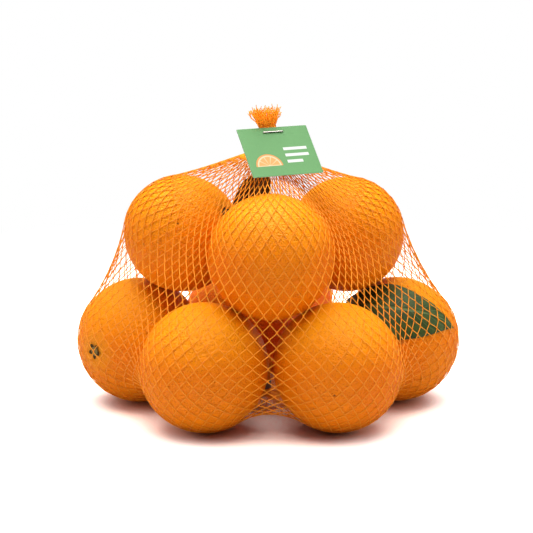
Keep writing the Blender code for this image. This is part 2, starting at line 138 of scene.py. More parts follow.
def skin(name, rings, tips=None, fields=None):
    """A closed mesh from rings[strand, step, side].

    A quad joins sides n, n + 1 of steps k, k + 1. A fan closes each end at its tip, which is the
    middle of the end ring unless tips[strand, 0 or 1] says where. Rings that turn anticlockwise
    about the way the steps go give faces that point outwards. fields are numbers for each ring
    point, which the materials read by name.
    """
    strands, steps, sides, _ = rings.shape
    if tips is None:
        tips = rings[:, [0, -1]].mean(axis=2)
    index = np.arange(strands * steps * sides).reshape(strands, steps, sides)
    following = np.roll(index, -1, axis=2)
    quads = np.stack([index[:, :-1], following[:, :-1], following[:, 1:], index[:, 1:]], axis=-1)
    first_tip = index.size + 2 * np.arange(strands)[:, None] + np.zeros((1, sides), int)
    start_fan = np.stack([first_tip, following[:, 0], index[:, 0]], axis=-1)
    end_fan = np.stack([first_tip + 1, index[:, -1], following[:, -1]], axis=-1)
    fans = np.concatenate([start_fan.reshape(-1, 3), end_fan.reshape(-1, 3)])
    quads = quads.reshape(-1, 4)
    points = np.concatenate([rings.reshape(-1, 3), tips.reshape(-1, 3)])
    corners = np.concatenate([quads.ravel(), fans.ravel()])
    starts = np.concatenate([4 * np.arange(len(quads)), quads.size + 3 * np.arange(len(fans))])
    mesh = bpy.data.meshes.new(name)
    mesh.vertices.add(len(points))
    mesh.vertices.foreach_set("co", points.astype(np.float32).ravel())
    mesh.loops.add(len(corners))
    mesh.loops.foreach_set("vertex_index", corners.astype(np.int32))
    mesh.polygons.add(len(starts))
    mesh.polygons.foreach_set("loop_start", starts.astype(np.int32))
    mesh.update(calc_edges=True)
    mesh.validate()
    mesh.shade_smooth()
    for field, values in (fields or {}).items():
        values = np.broadcast_to(values, rings.shape[:3])
        ends = values[:, [0, -1]].mean(axis=2)
        numbers = np.concatenate([values.ravel(), ends.ravel()])
        attribute = mesh.attributes.new(field, "FLOAT", "POINT")
        attribute.data.foreach_set("value", numbers.astype(np.float32))
    print(name, len(points), "points", 2 * len(quads) + len(fans), "triangles")
    return in_scene(name, mesh)


# %% Rings round a path, and a smooth path through knots
def around(count):
    """Angles of count even steps round a circle."""
    return 2 * math.pi * np.arange(count) / count


def level_way(turn):
    """The level direction (sin, -cos, 0) of each angle: 0 in front, then to the right."""
    return np.stack([np.sin(turn), -np.cos(turn), 0 * turn], axis=-1)


def rings_round(path, outward, radius, sides):
    """Rings round paths[strand, step]: path + radius * (cos(turn) * out + sin(turn) * sideways).

    out is the given direction with its part along the path taken away, and sideways is square to
    both.
    """
    ahead = unit(np.gradient(path, axis=1))
    out = unit(outward - (outward * ahead).sum(-1, keepdims=True) * ahead)
    sideways = np.cross(ahead, out)
    turn = around(sides)
    radius = np.broadcast_to(radius, path.shape[:2])[..., None, None]
    spokes = (np.cos(turn)[:, None] * out[..., None, :]
              + np.sin(turn)[:, None] * sideways[..., None, :])
    return path[..., None, :] + radius * spokes


def through(knots, slopes, per_span):
    """Cubic Hermite curves through knots[strand, knot], per_span steps a span, with given slopes.

    slopes[strand, span, 0 or 1] are the speeds at the two ends of each span.
    """
    t = (np.arange(per_span) / per_span)[:, None]
    begin = knots[:, :-1, None]
    end = knots[:, 1:, None]
    leave = slopes[:, :, 0, None]
    arrive = slopes[:, :, 1, None]
    spans = ((2 * t ** 3 - 3 * t ** 2 + 1) * begin + (t ** 3 - 2 * t ** 2 + t) * leave
             + (3 * t ** 2 - 2 * t ** 3) * end + (t ** 3 - t ** 2) * arrive)
    return np.concatenate([spans.reshape(len(knots), -1, 3), knots[:, -1:]], axis=1)


def easy_slopes(knots):
    """Slopes for an even curve: at each knot, half the way from the knot before to the next."""
    speed = np.gradient(knots, axis=1)
    return np.stack([speed[:, :-1], speed[:, 1:]], axis=2)


# %% [markdown]
# ## The camera
# A long lens about a metre away, a little above the fruit, keeps the layers square and the card
# readable. The camera looks straight back and tilts down by one angle, so its place is the point
# it aims at less its distance along the way it looks.

# %% Camera
CAMERA_DOWN = math.radians(12.7)
CAMERA_AWAY = 1.1037
CAMERA_LENS = 129.0               # millimetres, for a frame 36 mm wide
AIM_ACROSS = -1.15 * MM
AIM_HEIGHT = 99.3 * MM

aim = np.array((AIM_ACROSS, fruits["front_left"]["centre"][1], AIM_HEIGHT))
looking = np.array((0.0, math.cos(CAMERA_DOWN), -math.sin(CAMERA_DOWN)))
camera_data = bpy.data.cameras.new("camera")
camera_data.lens = CAMERA_LENS
camera_data.sensor_width = 36.0
camera_data.clip_start = 0.05
camera = in_scene("camera", camera_data)
camera.location = aim - CAMERA_AWAY * looking
camera.rotation_euler = (math.pi / 2 - CAMERA_DOWN, 0.0, 0.0)
bpy.context.scene.camera = camera
bpy.context.scene.view_settings.view_transform = "Standard"
print("camera at", np.round(np.array(camera.location) / MM, 1))

# %% [markdown]
# ## Writing materials as sums
# A material is a chain of small sums: pores darken the peel, a scratch roughens the wire. Placing
# each Math node by hand hides the sum, so a small class wraps a node's output and lets Python's
# own + - * ** write the nodes. Colours are mixed by name, because a Math node turns them grey.

# %% Sockets that can be added and multiplied
class Value:
    """A number or colour that varies from point to point: an output socket in a node tree."""

    def __init__(self, nodes, socket):
        self.nodes = nodes
        self.socket = socket

    def __add__(self, other):
        return self.nodes.sum("ADD", self, other)

    def __radd__(self, other):
        return self.nodes.sum("ADD", other, self)

    def __sub__(self, other):
        return self.nodes.sum("SUBTRACT", self, other)

    def __rsub__(self, other):
        return self.nodes.sum("SUBTRACT", other, self)

    def __mul__(self, other):
        return self.nodes.sum("MULTIPLY", self, other)

    def __rmul__(self, other):
        return self.nodes.sum("MULTIPLY", other, self)

    def __pow__(self, other):
        return self.nodes.sum("POWER", self, other)

    def above(self, low, high):
        """0 up to low, 1 from high, and a smooth step between them."""
        return self.nodes.node("ShaderNodeMapRange", {"interpolation_type": "SMOOTHSTEP"},
                               {"Value": self, "From Min": low, "From Max": high})

    def below(self, low, high):
        """1 up to low and 0 from high: one less the smooth step."""
        return 1 - self.above(low, high)


# %% A tree of nodes as it is written
class Nodes:
    """A node tree being written, of a material or of the room."""

    def __init__(self, tree):
        self.tree = tree

    def put(self, socket, value):
        """Link a Value to a socket, or write a plain number or colour into it."""
        if isinstance(value, Value):
            self.tree.links.new(value.socket, socket)
        elif value is not None:
            socket.default_value = value

    def node(self, kind, settings=None, inputs=None, output=0):
        """Any node: its settings first, then its sockets by order or name. Gives one output."""
        made = self.tree.nodes.new(kind)
        for key, value in (settings or {}).items():
            setattr(made, key, value)
        pairs = inputs.items() if isinstance(inputs, dict) else enumerate(inputs or ())
        for key, value in pairs:
            self.put(made.inputs[key], value)
        return Value(self, made.outputs[output])

    def sum(self, operation, *numbers):
        """A Math node on numbers, which are plain or Values."""
        return self.node("ShaderNodeMath", {"operation": operation}, numbers)


# %% A material as it is written
class Finish(Nodes):
    """A material being written: its main shader, and the patterns that its sums start from."""

    def __init__(self, name, slot=None):
        self.material = bpy.data.materials.new(name)
        self.material.use_nodes = True
        super().__init__(self.material.node_tree)
        self.tree.nodes.clear()
        self.slot = slot
        self.shader = self.tree.nodes.new("ShaderNodeBsdfPrincipled")
        self.output = self.tree.nodes.new("ShaderNodeOutputMaterial")
        self.main = Value(self, self.shader.outputs["BSDF"])
        self.surface(self.main)

    def place(self):
        """Where a point of the piece is, in metres."""
        return self.node("ShaderNodeTexCoord", output="Object")

    def field(self, name):
        """A number that the mesh holds for each point."""
        return self.node("ShaderNodeAttribute", {"attribute_name": name}, output="Fac")

    def noise(self, cells_a_metre, detail, stretch=None):
        """Soft random cloud, from 0 to 1. stretch squeezes it along each axis."""
        where = self.place()
        if stretch:
            where = self.node("ShaderNodeVectorMath", {"operation": "MULTIPLY"}, [where, stretch])
        return self.node("ShaderNodeTexNoise", {"noise_dimensions": "3D"},
                         {"Vector": where, "Scale": cells_a_metre, "Detail": detail})

    def cells(self, cells_a_metre, smooth=0.6):
        """Distance to the nearest of many scattered points: rounded dimples."""
        return self.node("ShaderNodeTexVoronoi", {"feature": "SMOOTH_F1"},
                         {"Vector": self.place(), "Scale": cells_a_metre, "Smoothness": smooth})

    def mix(self, share, first, second):
        """first where share is 0 and second where it is 1."""
        made = self.tree.nodes.new("ShaderNodeMix")
        made.data_type = "RGBA"
        self.put(made.inputs[0], share)
        for socket, colour in zip(made.inputs[6:8], (first, second)):
            self.put(socket, colour if isinstance(colour, Value) else (*colour, 1.0))
        return Value(self, made.outputs[2])

    def ramp(self, value, stops):
        """A colour for each value, between stops of a position and a colour."""
        made = self.tree.nodes.new("ShaderNodeValToRGB")
        elements = made.color_ramp.elements
        while len(elements) < len(stops):
            elements.new(1.0)
        for element, (position, colour) in zip(elements, stops):
            element.position = position
            element.color = (*colour, 1.0)
        self.put(made.inputs[0], value)
        return Value(self, made.outputs["Color"])

    def bump(self, height, depth, strength=1.0, under=None):
        """Relief: depth is how far height's 0 to 1 stands, in metres."""
        return self.node("ShaderNodeBump", None,
                         {"Height": height, "Distance": depth, "Strength": strength,
                          "Normal": under})

    def set(self, **sockets):
        """Give the main shader its colour, roughness and so on."""
        for name, value in sockets.items():
            socket = self.shader.inputs[name.replace("_", " ")]
            if isinstance(value, tuple) and socket.type == "RGBA":
                value = (*value, 1.0)
            self.put(socket, value)

    def surface(self, shader):
        """Show this shader instead of the main one alone."""
        self.tree.links.new(shader.socket, self.output.inputs["Surface"])

    def on(self, *pieces):
        """Give the finish to pieces."""
        for piece in pieces:
            piece.data.materials.clear()
            piece.data.materials.append(self.material)
        print(self.material.name, "on", len(pieces), "pieces, with", len(self.tree.nodes), "nodes")


# %% [markdown]
# ## Floor, room and lamps
# The set is a sheet of white paper under one wide soft box overhead, with two faint boxes at the
# sides. The paper must look white and still hold the soft shadow, but lamps that bleach paper
# bleach peel too. So what the camera sees of the paper is set apart from what lights the fruit: a
# warm diffuse surface deep in the contact shadow, and a white haze over it, which grows with the
# share of the sky that a point sees. Far from the fruit the paper is plain white.

# %% The paper floor
FLOOR_HALF = 3.0
SHADOW_REACH = 60 * MM            # how far the fruit can hide the sky from a point of the paper
SKY_HIDDEN, SKY_OPEN = 0.22, 0.62           # shares of the sky seen where haze starts and is full
HAZE = 0.9
SWEEP_STARTS, SWEEP_ENDS = 0.24, 0.55       # where the paper fades to plain white

floor_mesh = bpy.data.meshes.new("floor")
floor_mesh.from_pydata([(x * FLOOR_HALF, y * FLOOR_HALF, 0)
                        for x, y in ((-1, -1), (1, -1), (1, 1), (-1, 1))], [], [range(4)])
floor = in_scene("floor", floor_mesh)

paper = Finish("white_floor")
paper.set(Base_Color=(0.78, 0.775, 0.77), Roughness=0.8, Specular_IOR_Level=0.0)
seen = paper.node("ShaderNodeLightPath", output="Is Camera Ray")
away = paper.node("ShaderNodeVectorMath", {"operation": "LENGTH"}, [paper.place()], output="Value")
white = paper.node("ShaderNodeEmission", None, {"Strength": 1.0})
shade = paper.node("ShaderNodeBsdfDiffuse", None, {"Color": (1.0, 0.64, 0.48, 1.0)})
open_sky = paper.node("ShaderNodeAmbientOcclusion", {"samples": 8},
                      {"Distance": SHADOW_REACH}, output="AO")
haze = paper.node("ShaderNodeEmission", None,
                  {"Strength": open_sky.above(SKY_HIDDEN, SKY_OPEN) * HAZE})
shown = paper.node("ShaderNodeAddShader", None, [shade, haze])
near = paper.node("ShaderNodeMixShader", None, [seen, paper.main, shown])
paper.surface(paper.node("ShaderNodeMixShader", None,
                         [seen * away.above(SWEEP_STARTS, SWEEP_ENDS), near, white]))
paper.on(floor)

# %% [markdown]
# The room is white to the camera. Shiny surfaces see some of that white, but only behind the
# object, because a peel that mirrors white all round looks bleached. All else sees it nearly dark.

# %% The room
SKY_LEVEL = 0.05
SHINY_SHARE = 0.6                 # how much of the white backdrop wax and metal mirror
BACKDROP_STARTS, BACKDROP_FULL = -0.35, 0.15          # from the front to the back of the room

world = bpy.data.worlds.new("white_room")
world.use_nodes = True
bpy.context.scene.world = world
room = Nodes(world.node_tree)
direction = room.node("ShaderNodeTexCoord", output="Generated")
depth = room.node("ShaderNodeSeparateXYZ", None, [direction], "Y")
behind = room.node("ShaderNodeMapRange", None,
                   {"Value": depth, "From Min": BACKDROP_STARTS, "From Max": BACKDROP_FULL})
camera_ray, glossy, through_ray = [room.node("ShaderNodeLightPath", output=kind) for kind in (
    "Is Camera Ray", "Is Glossy Ray", "Is Transmission Ray")]
shiny = room.sum("MAXIMUM", glossy, through_ray) * behind * SHINY_SHARE
share = room.sum("MAXIMUM", camera_ray, shiny)
sky = world.node_tree.nodes["Background"]
room.put(sky.inputs["Strength"], SKY_LEVEL + share * (1.0 - SKY_LEVEL))
room.put(sky.inputs["Color"], (1.0, 1.0, 1.0, 1.0))
print("room", SKY_LEVEL, "bright to the fruit and 1 to the camera")


# %% The lamps
def soft_box(name, place, towards, width, height, watts):
    """A rectangular lamp at a place, facing a point."""
    lamp_data = bpy.data.lights.new(name, "AREA")
    lamp_data.shape = "RECTANGLE"
    lamp_data.size = width
    lamp_data.size_y = height
    lamp_data.energy = watts
    lamp = in_scene(name, lamp_data)
    lamp.location = place
    way = unit(np.array(towards) - np.array(place))
    lamp.rotation_euler = (math.acos(-way[2]), 0.0, math.atan2(-way[0], way[1]))
    print(name, watts, "W over", width, "x", height, "m")


soft_box("overhead_box", (-0.05, 0.02, 2.0), (-0.02, 0.0, 0.1), 2.1, 2.0, 93.0)
soft_box("left_box", (-1.25, -0.1, 0.6), (0.0, 0.0, 0.08), 0.9, 0.9, 3.8)
soft_box("right_box", (1.25, -0.1, 0.6), (0.0, 0.0, 0.08), 0.9, 0.9, 3.5)

# %% [markdown]
# ## The net: a tube of diamonds
# The net is extruded as a flat tube of diamonds and stretched over the heap. Its joints, where two
# threads are fused, lie in rows. Every other row is shifted by half a cell, and each joint ties to
# the two below it. So the whole net is one array: a row, a column, and a point for each joint.

# %% The net's size
CELLS_ROUND = 82
ROWS = 51
THREAD_LENGTH = 5.5 * MM          # from joint to joint, before it is stretched
BACK_SPARE = 1.05                 # the back hangs a little longer, as the bag was filled lying down
THREAD_RADIUS = 0.24 * MM
OFF_PEEL = 0.31 * MM              # from peel to the thread's middle
OVER_LEAF = 0.75 * MM             # more of it, where the leaf is under the net
NECK_RING_RADIUS = 4.8 * MM
NECK_RING_RISE = 7.5 * MM
BUNCH_RING_RADIUS = 4.0 * MM
BUNCH_RING_HEIGHT = 9.0 * MM
EGG = (150, 185, 75, 100)         # loose start, mm: half-width, half-depth, middle, half-height

row = np.arange(ROWS)[:, None]
column = np.arange(CELLS_ROUND)[None, :]
shifted = row % 2
bearing = 2 * math.pi * (column + 0.5 * shifted) / CELLS_ROUND
polar = math.pi * row / (ROWS - 1)


def wide_start():
    """An egg clear of the heap: half-width times sin(polar) ** 0.8, height by cos(polar)."""
    bulge = np.sin(polar) ** 0.8
    wide, deep, middle, tall = EGG
    return np.stack([wide * MM * bulge * np.sin(bearing), -deep * MM * bulge * np.cos(bearing),
                     (middle + tall * np.cos(polar) + 0 * bearing) * MM], axis=-1)


neck_ring = collar + (0, 0, NECK_RING_RISE) + NECK_RING_RADIUS * level_way(bearing[0])
bunch_ring = bunch + (0, 0, BUNCH_RING_HEIGHT) + BUNCH_RING_RADIUS * level_way(bearing[-1])
thread_rest = THREAD_LENGTH * (1 + (BACK_SPARE - 1) * (1 - np.cos(bearing)) / 2)
print("lay-flat width of the tube about", round(CELLS_ROUND * THREAD_LENGTH / 2 / MM), "mm")

# %% [markdown]
# ## The leaf that the net holds against the right side fruit
# A leaf is trapped between net and peel. It lies on the fruit, so its place is given in latitude
# and longitude on that fruit: the midrib runs round and falls a little towards the tip, and the
# blade's width swells and narrows as a sine. The net has to pass over it, so these come first.

# %% Where the right leaf lies
LEAF_GAP = 0.35 * MM
LEAF_WALL = 0.35 * MM
LEAF_WIDTH = 40.0 * MM
LEAF_LENGTH = 0.94 * 91 * MM      # a 91 mm blade, a little shorter as it bends round
STALK_HALF = 0.8 * MM
NET_SLOPES_OVER = 2.5 * MM        # how far round its edge the net comes down to the peel
LEAF_TILT = math.radians(-12.0)   # how far the leaf's own pole leans back
LEAF_DROP = math.radians(13.0)
LEAF_TIP_DROP = math.radians(15.0)
LEAF_UNDER = math.radians(23.0)   # its stalk, below the point where the upper fruit rests
LEAF_BEFORE = math.radians(24.0)  # and to the left of it

tilt = np.array(((1, 0, 0), (0, math.cos(LEAF_TILT), -math.sin(LEAF_TILT)),
                 (0, math.sin(LEAF_TILT), math.cos(LEAF_TILT))))
leaf_fruit = fruits["side_right"]
leaf_radius = leaf_fruit["radius"] + LEAF_GAP
seat = tilt.T @ unit(fruits["top_right"]["centre"] - leaf_fruit["centre"])
leaf_latitude = math.asin(seat[2]) - LEAF_UNDER
leaf_longitude = math.atan2(seat[0], -seat[1]) - LEAF_BEFORE
leaf_sweep = LEAF_LENGTH / (leaf_radius * math.cos(leaf_latitude - LEAF_DROP / 2))


def leaf_half(share, width):
    """Half the blade's width at a share of its length, never thinner than the stalk."""
    return np.maximum(STALK_HALF * (1 - 0.6 * share), width / 2 * np.sin(math.pi * share))


def leaf_midrib(share):
    """Latitude of the midrib: an even fall, and a quick one at the tip."""
    return leaf_latitude - LEAF_DROP * share - LEAF_TIP_DROP * share ** 6


def leaf_cover(points):
    """1 where a point of the net lies over the right leaf and 0 away from it, soft at the edge."""
    way = unit(points - leaf_fruit["centre"]) @ tilt
    share = (np.arctan2(way[..., 0], -way[..., 1]) - leaf_longitude) / leaf_sweep
    inside = np.clip(share, 0, 1)
    reach = leaf_half(inside, LEAF_WIDTH) / leaf_radius
    off = np.abs(np.arcsin(np.clip(way[..., 2], -1, 1)) - leaf_midrib(inside))
    beyond = np.maximum(off - reach, np.abs(share - inside) * leaf_sweep) * leaf_radius
    soft = np.clip(1 - beyond / NET_SLOPES_OVER, 0, 1)
    return soft * soft * (3 - 2 * soft)


# %% [markdown]
# ## Pulled tight by its own threads
# Lines drawn by hand over nine balls would never look pulled, and a cloth solver treats every gap
# as cloth. So the threads themselves are solved: each is a short spring between two joints. The net
# starts as a loose egg. Its springs shrink from an easy length to their real one, joints are pushed
# out of the fruit, and the two end rows are held at the neck and at the bottom bunch.

# %% One pull, one push
def pull_threads(joints, rest, pull, push):
    """One pass over all threads, in four sets that share no joint.

    A thread longer than its rest length moves its ends together by pull times the excess, and a
    shorter one moves them apart by push times the lack. Held rows don't move.
    """
    for start in (0, 1):
        upper = np.arange(start, ROWS - 1, 2)
        moves_upper = np.where(upper == 0, 0.0, 1.0)[:, None, None]
        moves_lower = np.where(upper + 1 == ROWS - 1, 0.0, 1.0)[:, None, None]
        for family in (0, 1):
            turn = start - family
            above = joints[upper]
            below = np.roll(joints[upper + 1], -turn, axis=1)
            gap = below - above
            length = np.linalg.norm(gap, axis=-1, keepdims=True)
            excess = (length - rest[upper][..., None]) / length
            move = gap * excess * np.where(excess > 0, pull, push) / (moves_upper + moves_lower)
            joints[upper] = above + move * moves_upper
            joints[upper + 1] = np.roll(below - move * moves_lower, turn, axis=1)


def pushed_out(points, lift=0.0):
    """The points, those inside a fruit moved straight out of it and the rest where they were.

    The least distance grows by lift, and by OVER_LEAF on the leaf. The floor pushes up.
    """
    points = points.copy()
    for place, fruit in fruits.items():
        away = points - fruit["centre"]
        distance = np.linalg.norm(away, axis=-1)
        least = fruit["radius"] + OFF_PEEL + lift
        if place == "side_right":
            least = least + OVER_LEAF * leaf_cover(points)
        inside = distance < least
        least = np.broadcast_to(least, distance.shape)
        points[inside] = fruit["centre"] + away[inside] * (least / distance)[inside][:, None]
    points[..., 2] = np.maximum(points[..., 2], OFF_PEEL + lift)
    return points


# %% Pull the net tight
SWEEPS = 2500
LOOSE = 1.7                       # rest lengths at the start, as a multiple of the real ones
FIRM_FROM, FIRM_OVER = 0.25, 0.2  # when the springs firm up, as shares of all sweeps
CARRY, CARRY_LAST = 0.95, 0.8     # how much of a sweep's move goes on into the next
MOST_A_SWEEP = 3 * MM


def tightened():
    """The joints when the net has shrunk over the heap.

    Each sweep lets them move on, pulls the threads, limits the move and pushes them out.
    """
    joints = wide_start()
    before = joints.copy()
    for sweep in range(SWEEPS):
        share = sweep / SWEEPS
        ease = max(1.0, LOOSE - 2.0 * share)
        firm = min(1.0, max(0.0, (share - FIRM_FROM) / FIRM_OVER))
        last = joints.copy()
        joints += (joints - before) * (CARRY if share < 0.9 else CARRY_LAST)
        before = last
        pull_threads(joints, ease * thread_rest, 1.0 - 0.7 * firm, 0.5 - 0.3 * firm)
        step = joints - last
        length = np.linalg.norm(step, axis=-1, keepdims=True)
        shortened = np.minimum(1, MOST_A_SWEEP / np.maximum(length, 1e-9))
        joints = pushed_out(last + step * shortened)
        joints[0] = neck_ring
        joints[-1] = bunch_ring
    return joints


joints = tightened()
print("net settled: joints span", np.round((joints.max((0, 1)) - joints.min((0, 1))) / MM, 1), "mm")

# %% [markdown]
# ## From joints to threads
# In extruded netting two threads are fused where they cross, and both run along the tube there
# before they part. So each thread is one long S-curve from neck to base: at every joint it heads
# down the tube, and it is thicker where it is fused. One family of threads lies a hair outside the
# other. Where cells are pulled shut the threads are drawn thinner, so that each still shows. Where
# a thread is fused is stored on the mesh, for the material to read.

# %% Directions at the joints
CLOSED_CELL = 0.7 * MM            # width of a cell that is pulled shut
OPEN_CELL = 1.8 * MM              # and of one that shows its threads apart


def joints_beside(steps_down, side):
    """The joint tied to each joint on the row below (1) or above (-1), to its right or left."""
    other_row = np.clip(row + steps_down, 0, ROWS - 1)
    other_column = (column + shifted - (1 - side)) % CELLS_ROUND
    return joints[other_row, other_column]


across_tube = np.roll(joints, -1, axis=1) - np.roll(joints, 1, axis=1)
down_tube = unit(joints_beside(1, 0) + joints_beside(1, 1)
                 - joints_beside(-1, 0) - joints_beside(-1, 1))
out_of_tube = unit(np.cross(down_tube, across_tube))
cell_width = np.linalg.norm(across_tube, axis=-1) / 2
cell_open = np.clip((cell_width - CLOSED_CELL) / (OPEN_CELL - CLOSED_CELL), 0, 1)
print("cells pulled shut:", int((cell_open == 0).sum()), "of", cell_open.size)

# %% Threads between two rows
STEPS_A_THREAD = 4
THREAD_SIDES = 6
FUSED_HALF = 1.0 * MM             # half the length over which two threads are one
FUSED_SWELL = 0.32
THIN_WHERE_SHUT = 0.72
FAMILY_LIFT = 0.06 * MM
S_PULL = 0.45


def run_of(family, first_row, last_row):
    """Rows and columns that one family's threads pass through: 0 steps right, 1 left."""
    rows = np.arange(first_row, last_row + 1)[:, None]
    step = rows // 2 if family == 0 else -((rows + 1) // 2)
    return rows, (column + step) % CELLS_ROUND


def lift_of(family):
    """How far a family lies outside the joints, or inside."""
    return FAMILY_LIFT if family == 0 else -FAMILY_LIFT


def threads_of(family, first_row, last_row):
    """Middle lines, outward directions, fused shares and openness of one family's threads."""
    rows, columns = run_of(family, first_row, last_row)
    out = out_of_tube[rows, columns].transpose(1, 0, 2)
    knots = joints[rows, columns].transpose(1, 0, 2) + lift_of(family) * out
    ahead = down_tube[rows, columns].transpose(1, 0, 2)
    span = np.linalg.norm(knots[:, 1:] - knots[:, :-1], axis=-1)
    slopes = np.stack([ahead[:, :-1], ahead[:, 1:]], axis=2) * (S_PULL * span)[..., None, None]
    path = pushed_out(through(knots, slopes, STEPS_A_THREAD), lift_of(family))
    sway = np.concatenate([out[:, :-1], out[:, -1:]], axis=1)
    outward = through(sway, 0 * slopes, STEPS_A_THREAD)
    along = (np.arange(STEPS_A_THREAD) / STEPS_A_THREAD) * span[..., None]
    nearest = np.minimum(along, span[..., None] - along).reshape(CELLS_ROUND, -1)
    nearest = np.concatenate([nearest, np.zeros((CELLS_ROUND, 1))], axis=1)
    ajar = cell_open[rows, columns].T
    steps = np.arange(path.shape[1]) / STEPS_A_THREAD
    ajar = np.stack([np.interp(steps, np.arange(ajar.shape[1]), strand) for strand in ajar])
    return path, outward, np.exp(-(nearest / FUSED_HALF) ** 2) * ajar, ajar


def net_zone(name, first_row, last_row):
    """Both families of threads between two rows, as closed tubes."""
    rings = []
    fused = []
    for family in (0, 1):
        path, outward, share, ajar = threads_of(family, first_row, last_row)
        drawn = THIN_WHERE_SHUT + (1 - THIN_WHERE_SHUT) * ajar
        radius = THREAD_RADIUS * drawn * (1 + FUSED_SWELL * share)
        rings.append(rings_round(path, outward, radius, THREAD_SIDES))
        fused.append(share)
    return skin(name, np.concatenate(rings), fields={"fused": np.concatenate(fused)[..., None]})


# %% [markdown]
# The net is made in four zones, one under the other, and each has a flat size of its own.

# %% Build the net in zones
NECK_ROW = 1                      # above it the threads run as a bundle
COLLAR_ROW = 2
SHOULDER_ROW = 9
WAIST_ROW = 27
BASE_ROW = 44
ZONES = (("net_shoulder", COLLAR_ROW, SHOULDER_ROW), ("net_upper", SHOULDER_ROW, WAIST_ROW),
         ("net_lower", WAIST_ROW, BASE_ROW), ("net_base", BASE_ROW, ROWS - 1))
net_zones = [net_zone(*zone) for zone in ZONES]
shoulder, upper_net, lower_net, base_net = net_zones

# %% [markdown]
# ## The neck: a bundle pressed flat, with a frayed tuft
# Above the last joints all the threads run side by side. They fill a round stem, are pressed into a
# flat oval behind the card, and spring apart past its edge, where the tube was cut. Each thread
# keeps its own place in the bundle: an angle, from where it sits in the net, and a share of the way
# out, from the golden ratio, which fills a disc evenly and without chance.

# %% Places in a bundle
GOLDEN = 0.6180339887
LOOSE_SIDES = 5                   # sides of a thread's tube where it is no longer a net
TO_RIGHT = np.array((1.0, 0.0, 0.0))
TO_BACK = np.array((0.0, 1.0, 0.0))
chance = np.random.default_rng(7)


def ways_out(count):
    """Share of the way out of each of count threads: the square root of golden ratio steps."""
    return np.sqrt((np.arange(count) * GOLDEN) % 1.0 * 0.96 + 0.04)


def in_oval(centre, wide, deep, half_width, half_depth, bearings, share):
    """centre + share * (half_width * sin * wide - half_depth * cos * deep), for each thread."""
    across = share * half_width * np.sin(bearings)
    back = -share * half_depth * np.cos(bearings)
    return centre + across[:, None] * wide + back[:, None] * deep


print("two threads to each of", CELLS_ROUND, "joints make a bundle of", 2 * CELLS_ROUND)

# %% Neck and tuft
CARD_WALL = 0.4 * MM
STAPLE_DOWN = 3.6 * MM            # below the card's top edge
STEM_RISE = 9.5 * MM              # above the collar's middle, where the bundle is still round
STEM_RADIUS = 4.6 * MM
NECK_FLAT = (5.5 * MM, 1.85 * MM)           # half-width and half-depth where it is pressed
BEHIND_CARD = 0.3 * MM            # from the card's back to the pressed bunch
TUFT_LENGTH = 12.6 * MM
# For each oval of the tuft: share of its length, half-width and half-depth in mm, and how far
# the threads wander.
TUFT = ((0.36, 6.4, 3.2, 0.35), (0.7, 8.8, 5.4, 0.8), (1.0, 10.2, 6.8, 1.0))
bundle_depth = CARD_WALL + BEHIND_CARD + NECK_FLAT[1]


def neck_starts():
    """Each thread's places at the collar's row of joints and at the row above, and its bearing."""
    lower, upper, bearings = [], [], []
    for family in (0, 1):
        rows, columns = run_of(family, NECK_ROW, COLLAR_ROW)
        spots = joints[rows, columns] + lift_of(family) * out_of_tube[rows, columns]
        upper.append(spots[0])
        lower.append(spots[1])
        bearings.append(bearing[NECK_ROW, columns[0]])
    return np.concatenate(lower), np.concatenate(upper), np.concatenate(bearings)


def neck_threads():
    """Knots of every thread: two in the net, the round stem, two in the pressed bunch, the tuft.

    The tuft leans up, along the card and a little to the left, and each thread ends at a length
    of its own.
    """
    lower, upper, bearings = neck_starts()
    share = ways_out(len(bearings))
    pressed = on_card(0.0, bundle_depth, -STAPLE_DOWN - 1.6 * MM)
    edge = on_card(-0.9 * MM, bundle_depth, 1.5 * MM)
    lean = unit(straight_up + 0.30 * card_up - 0.13 * card_wide)
    wander = chance.normal(0.0, 1.0, (len(share), 3))
    length = TUFT_LENGTH * (0.70 + 0.28 * chance.random(len(share)))[:, None]
    knots = [lower, upper,
             in_oval(collar + straight_up * STEM_RISE, TO_RIGHT, TO_BACK, STEM_RADIUS,
                     STEM_RADIUS, bearings, share),
             in_oval(pressed, card_wide, card_into, *NECK_FLAT, bearings, share),
             in_oval(edge, card_wide, card_into, *NECK_FLAT, bearings, share)]
    for number, (along, half_width, half_depth, stray) in enumerate(TUFT):
        deep = unit(card_into + TO_BACK) if number == 0 else TO_BACK
        spot = in_oval(edge + lean * length * along, card_wide, deep, half_width * MM,
                       half_depth * MM, bearings, share)
        # In the second oval they wander another way, so that they bend and cross.
        strays = wander[:, [1, 2, 0]] if number == 1 else wander
        knots.append(spot + strays * stray * MM)
    return np.stack(knots, axis=1)


def neck_piece():
    """The bundle's tubes, which thin out as they leave the net and are no longer fused."""
    knots = neck_threads()
    path = through(knots, easy_slopes(knots), STEPS_A_THREAD)
    along = np.linspace(0, 1, path.shape[1])
    drawn = np.interp(along, (0, 0.14, 0.3, 0.6, 1.0), (1.0, 0.95, 0.85, 0.8, 0.85))
    outward = unit(path - (collar + straight_up * 10 * MM)) + 0.01
    fused = np.broadcast_to(0.6 * (1.0 - along) ** 2, path.shape[:2])[..., None]
    rings = rings_round(path, outward, THREAD_RADIUS * drawn, LOOSE_SIDES)
    return skin("net_neck_and_tuft", rings, fields={"fused": fused})


neck = neck_piece()

# %% [markdown]
# ## The bottom bunch and its band
# Under the bag the tube is drawn together, turned up into the hollow between the low fruits and
# closed by a crimped aluminium band. The threads pass up through the band and fray above it.

# %% Bottom bunch
clip_low, clip_high = box_of("bottom_clip")
band_middle = (clip_low[2] + clip_high[2]) / 2
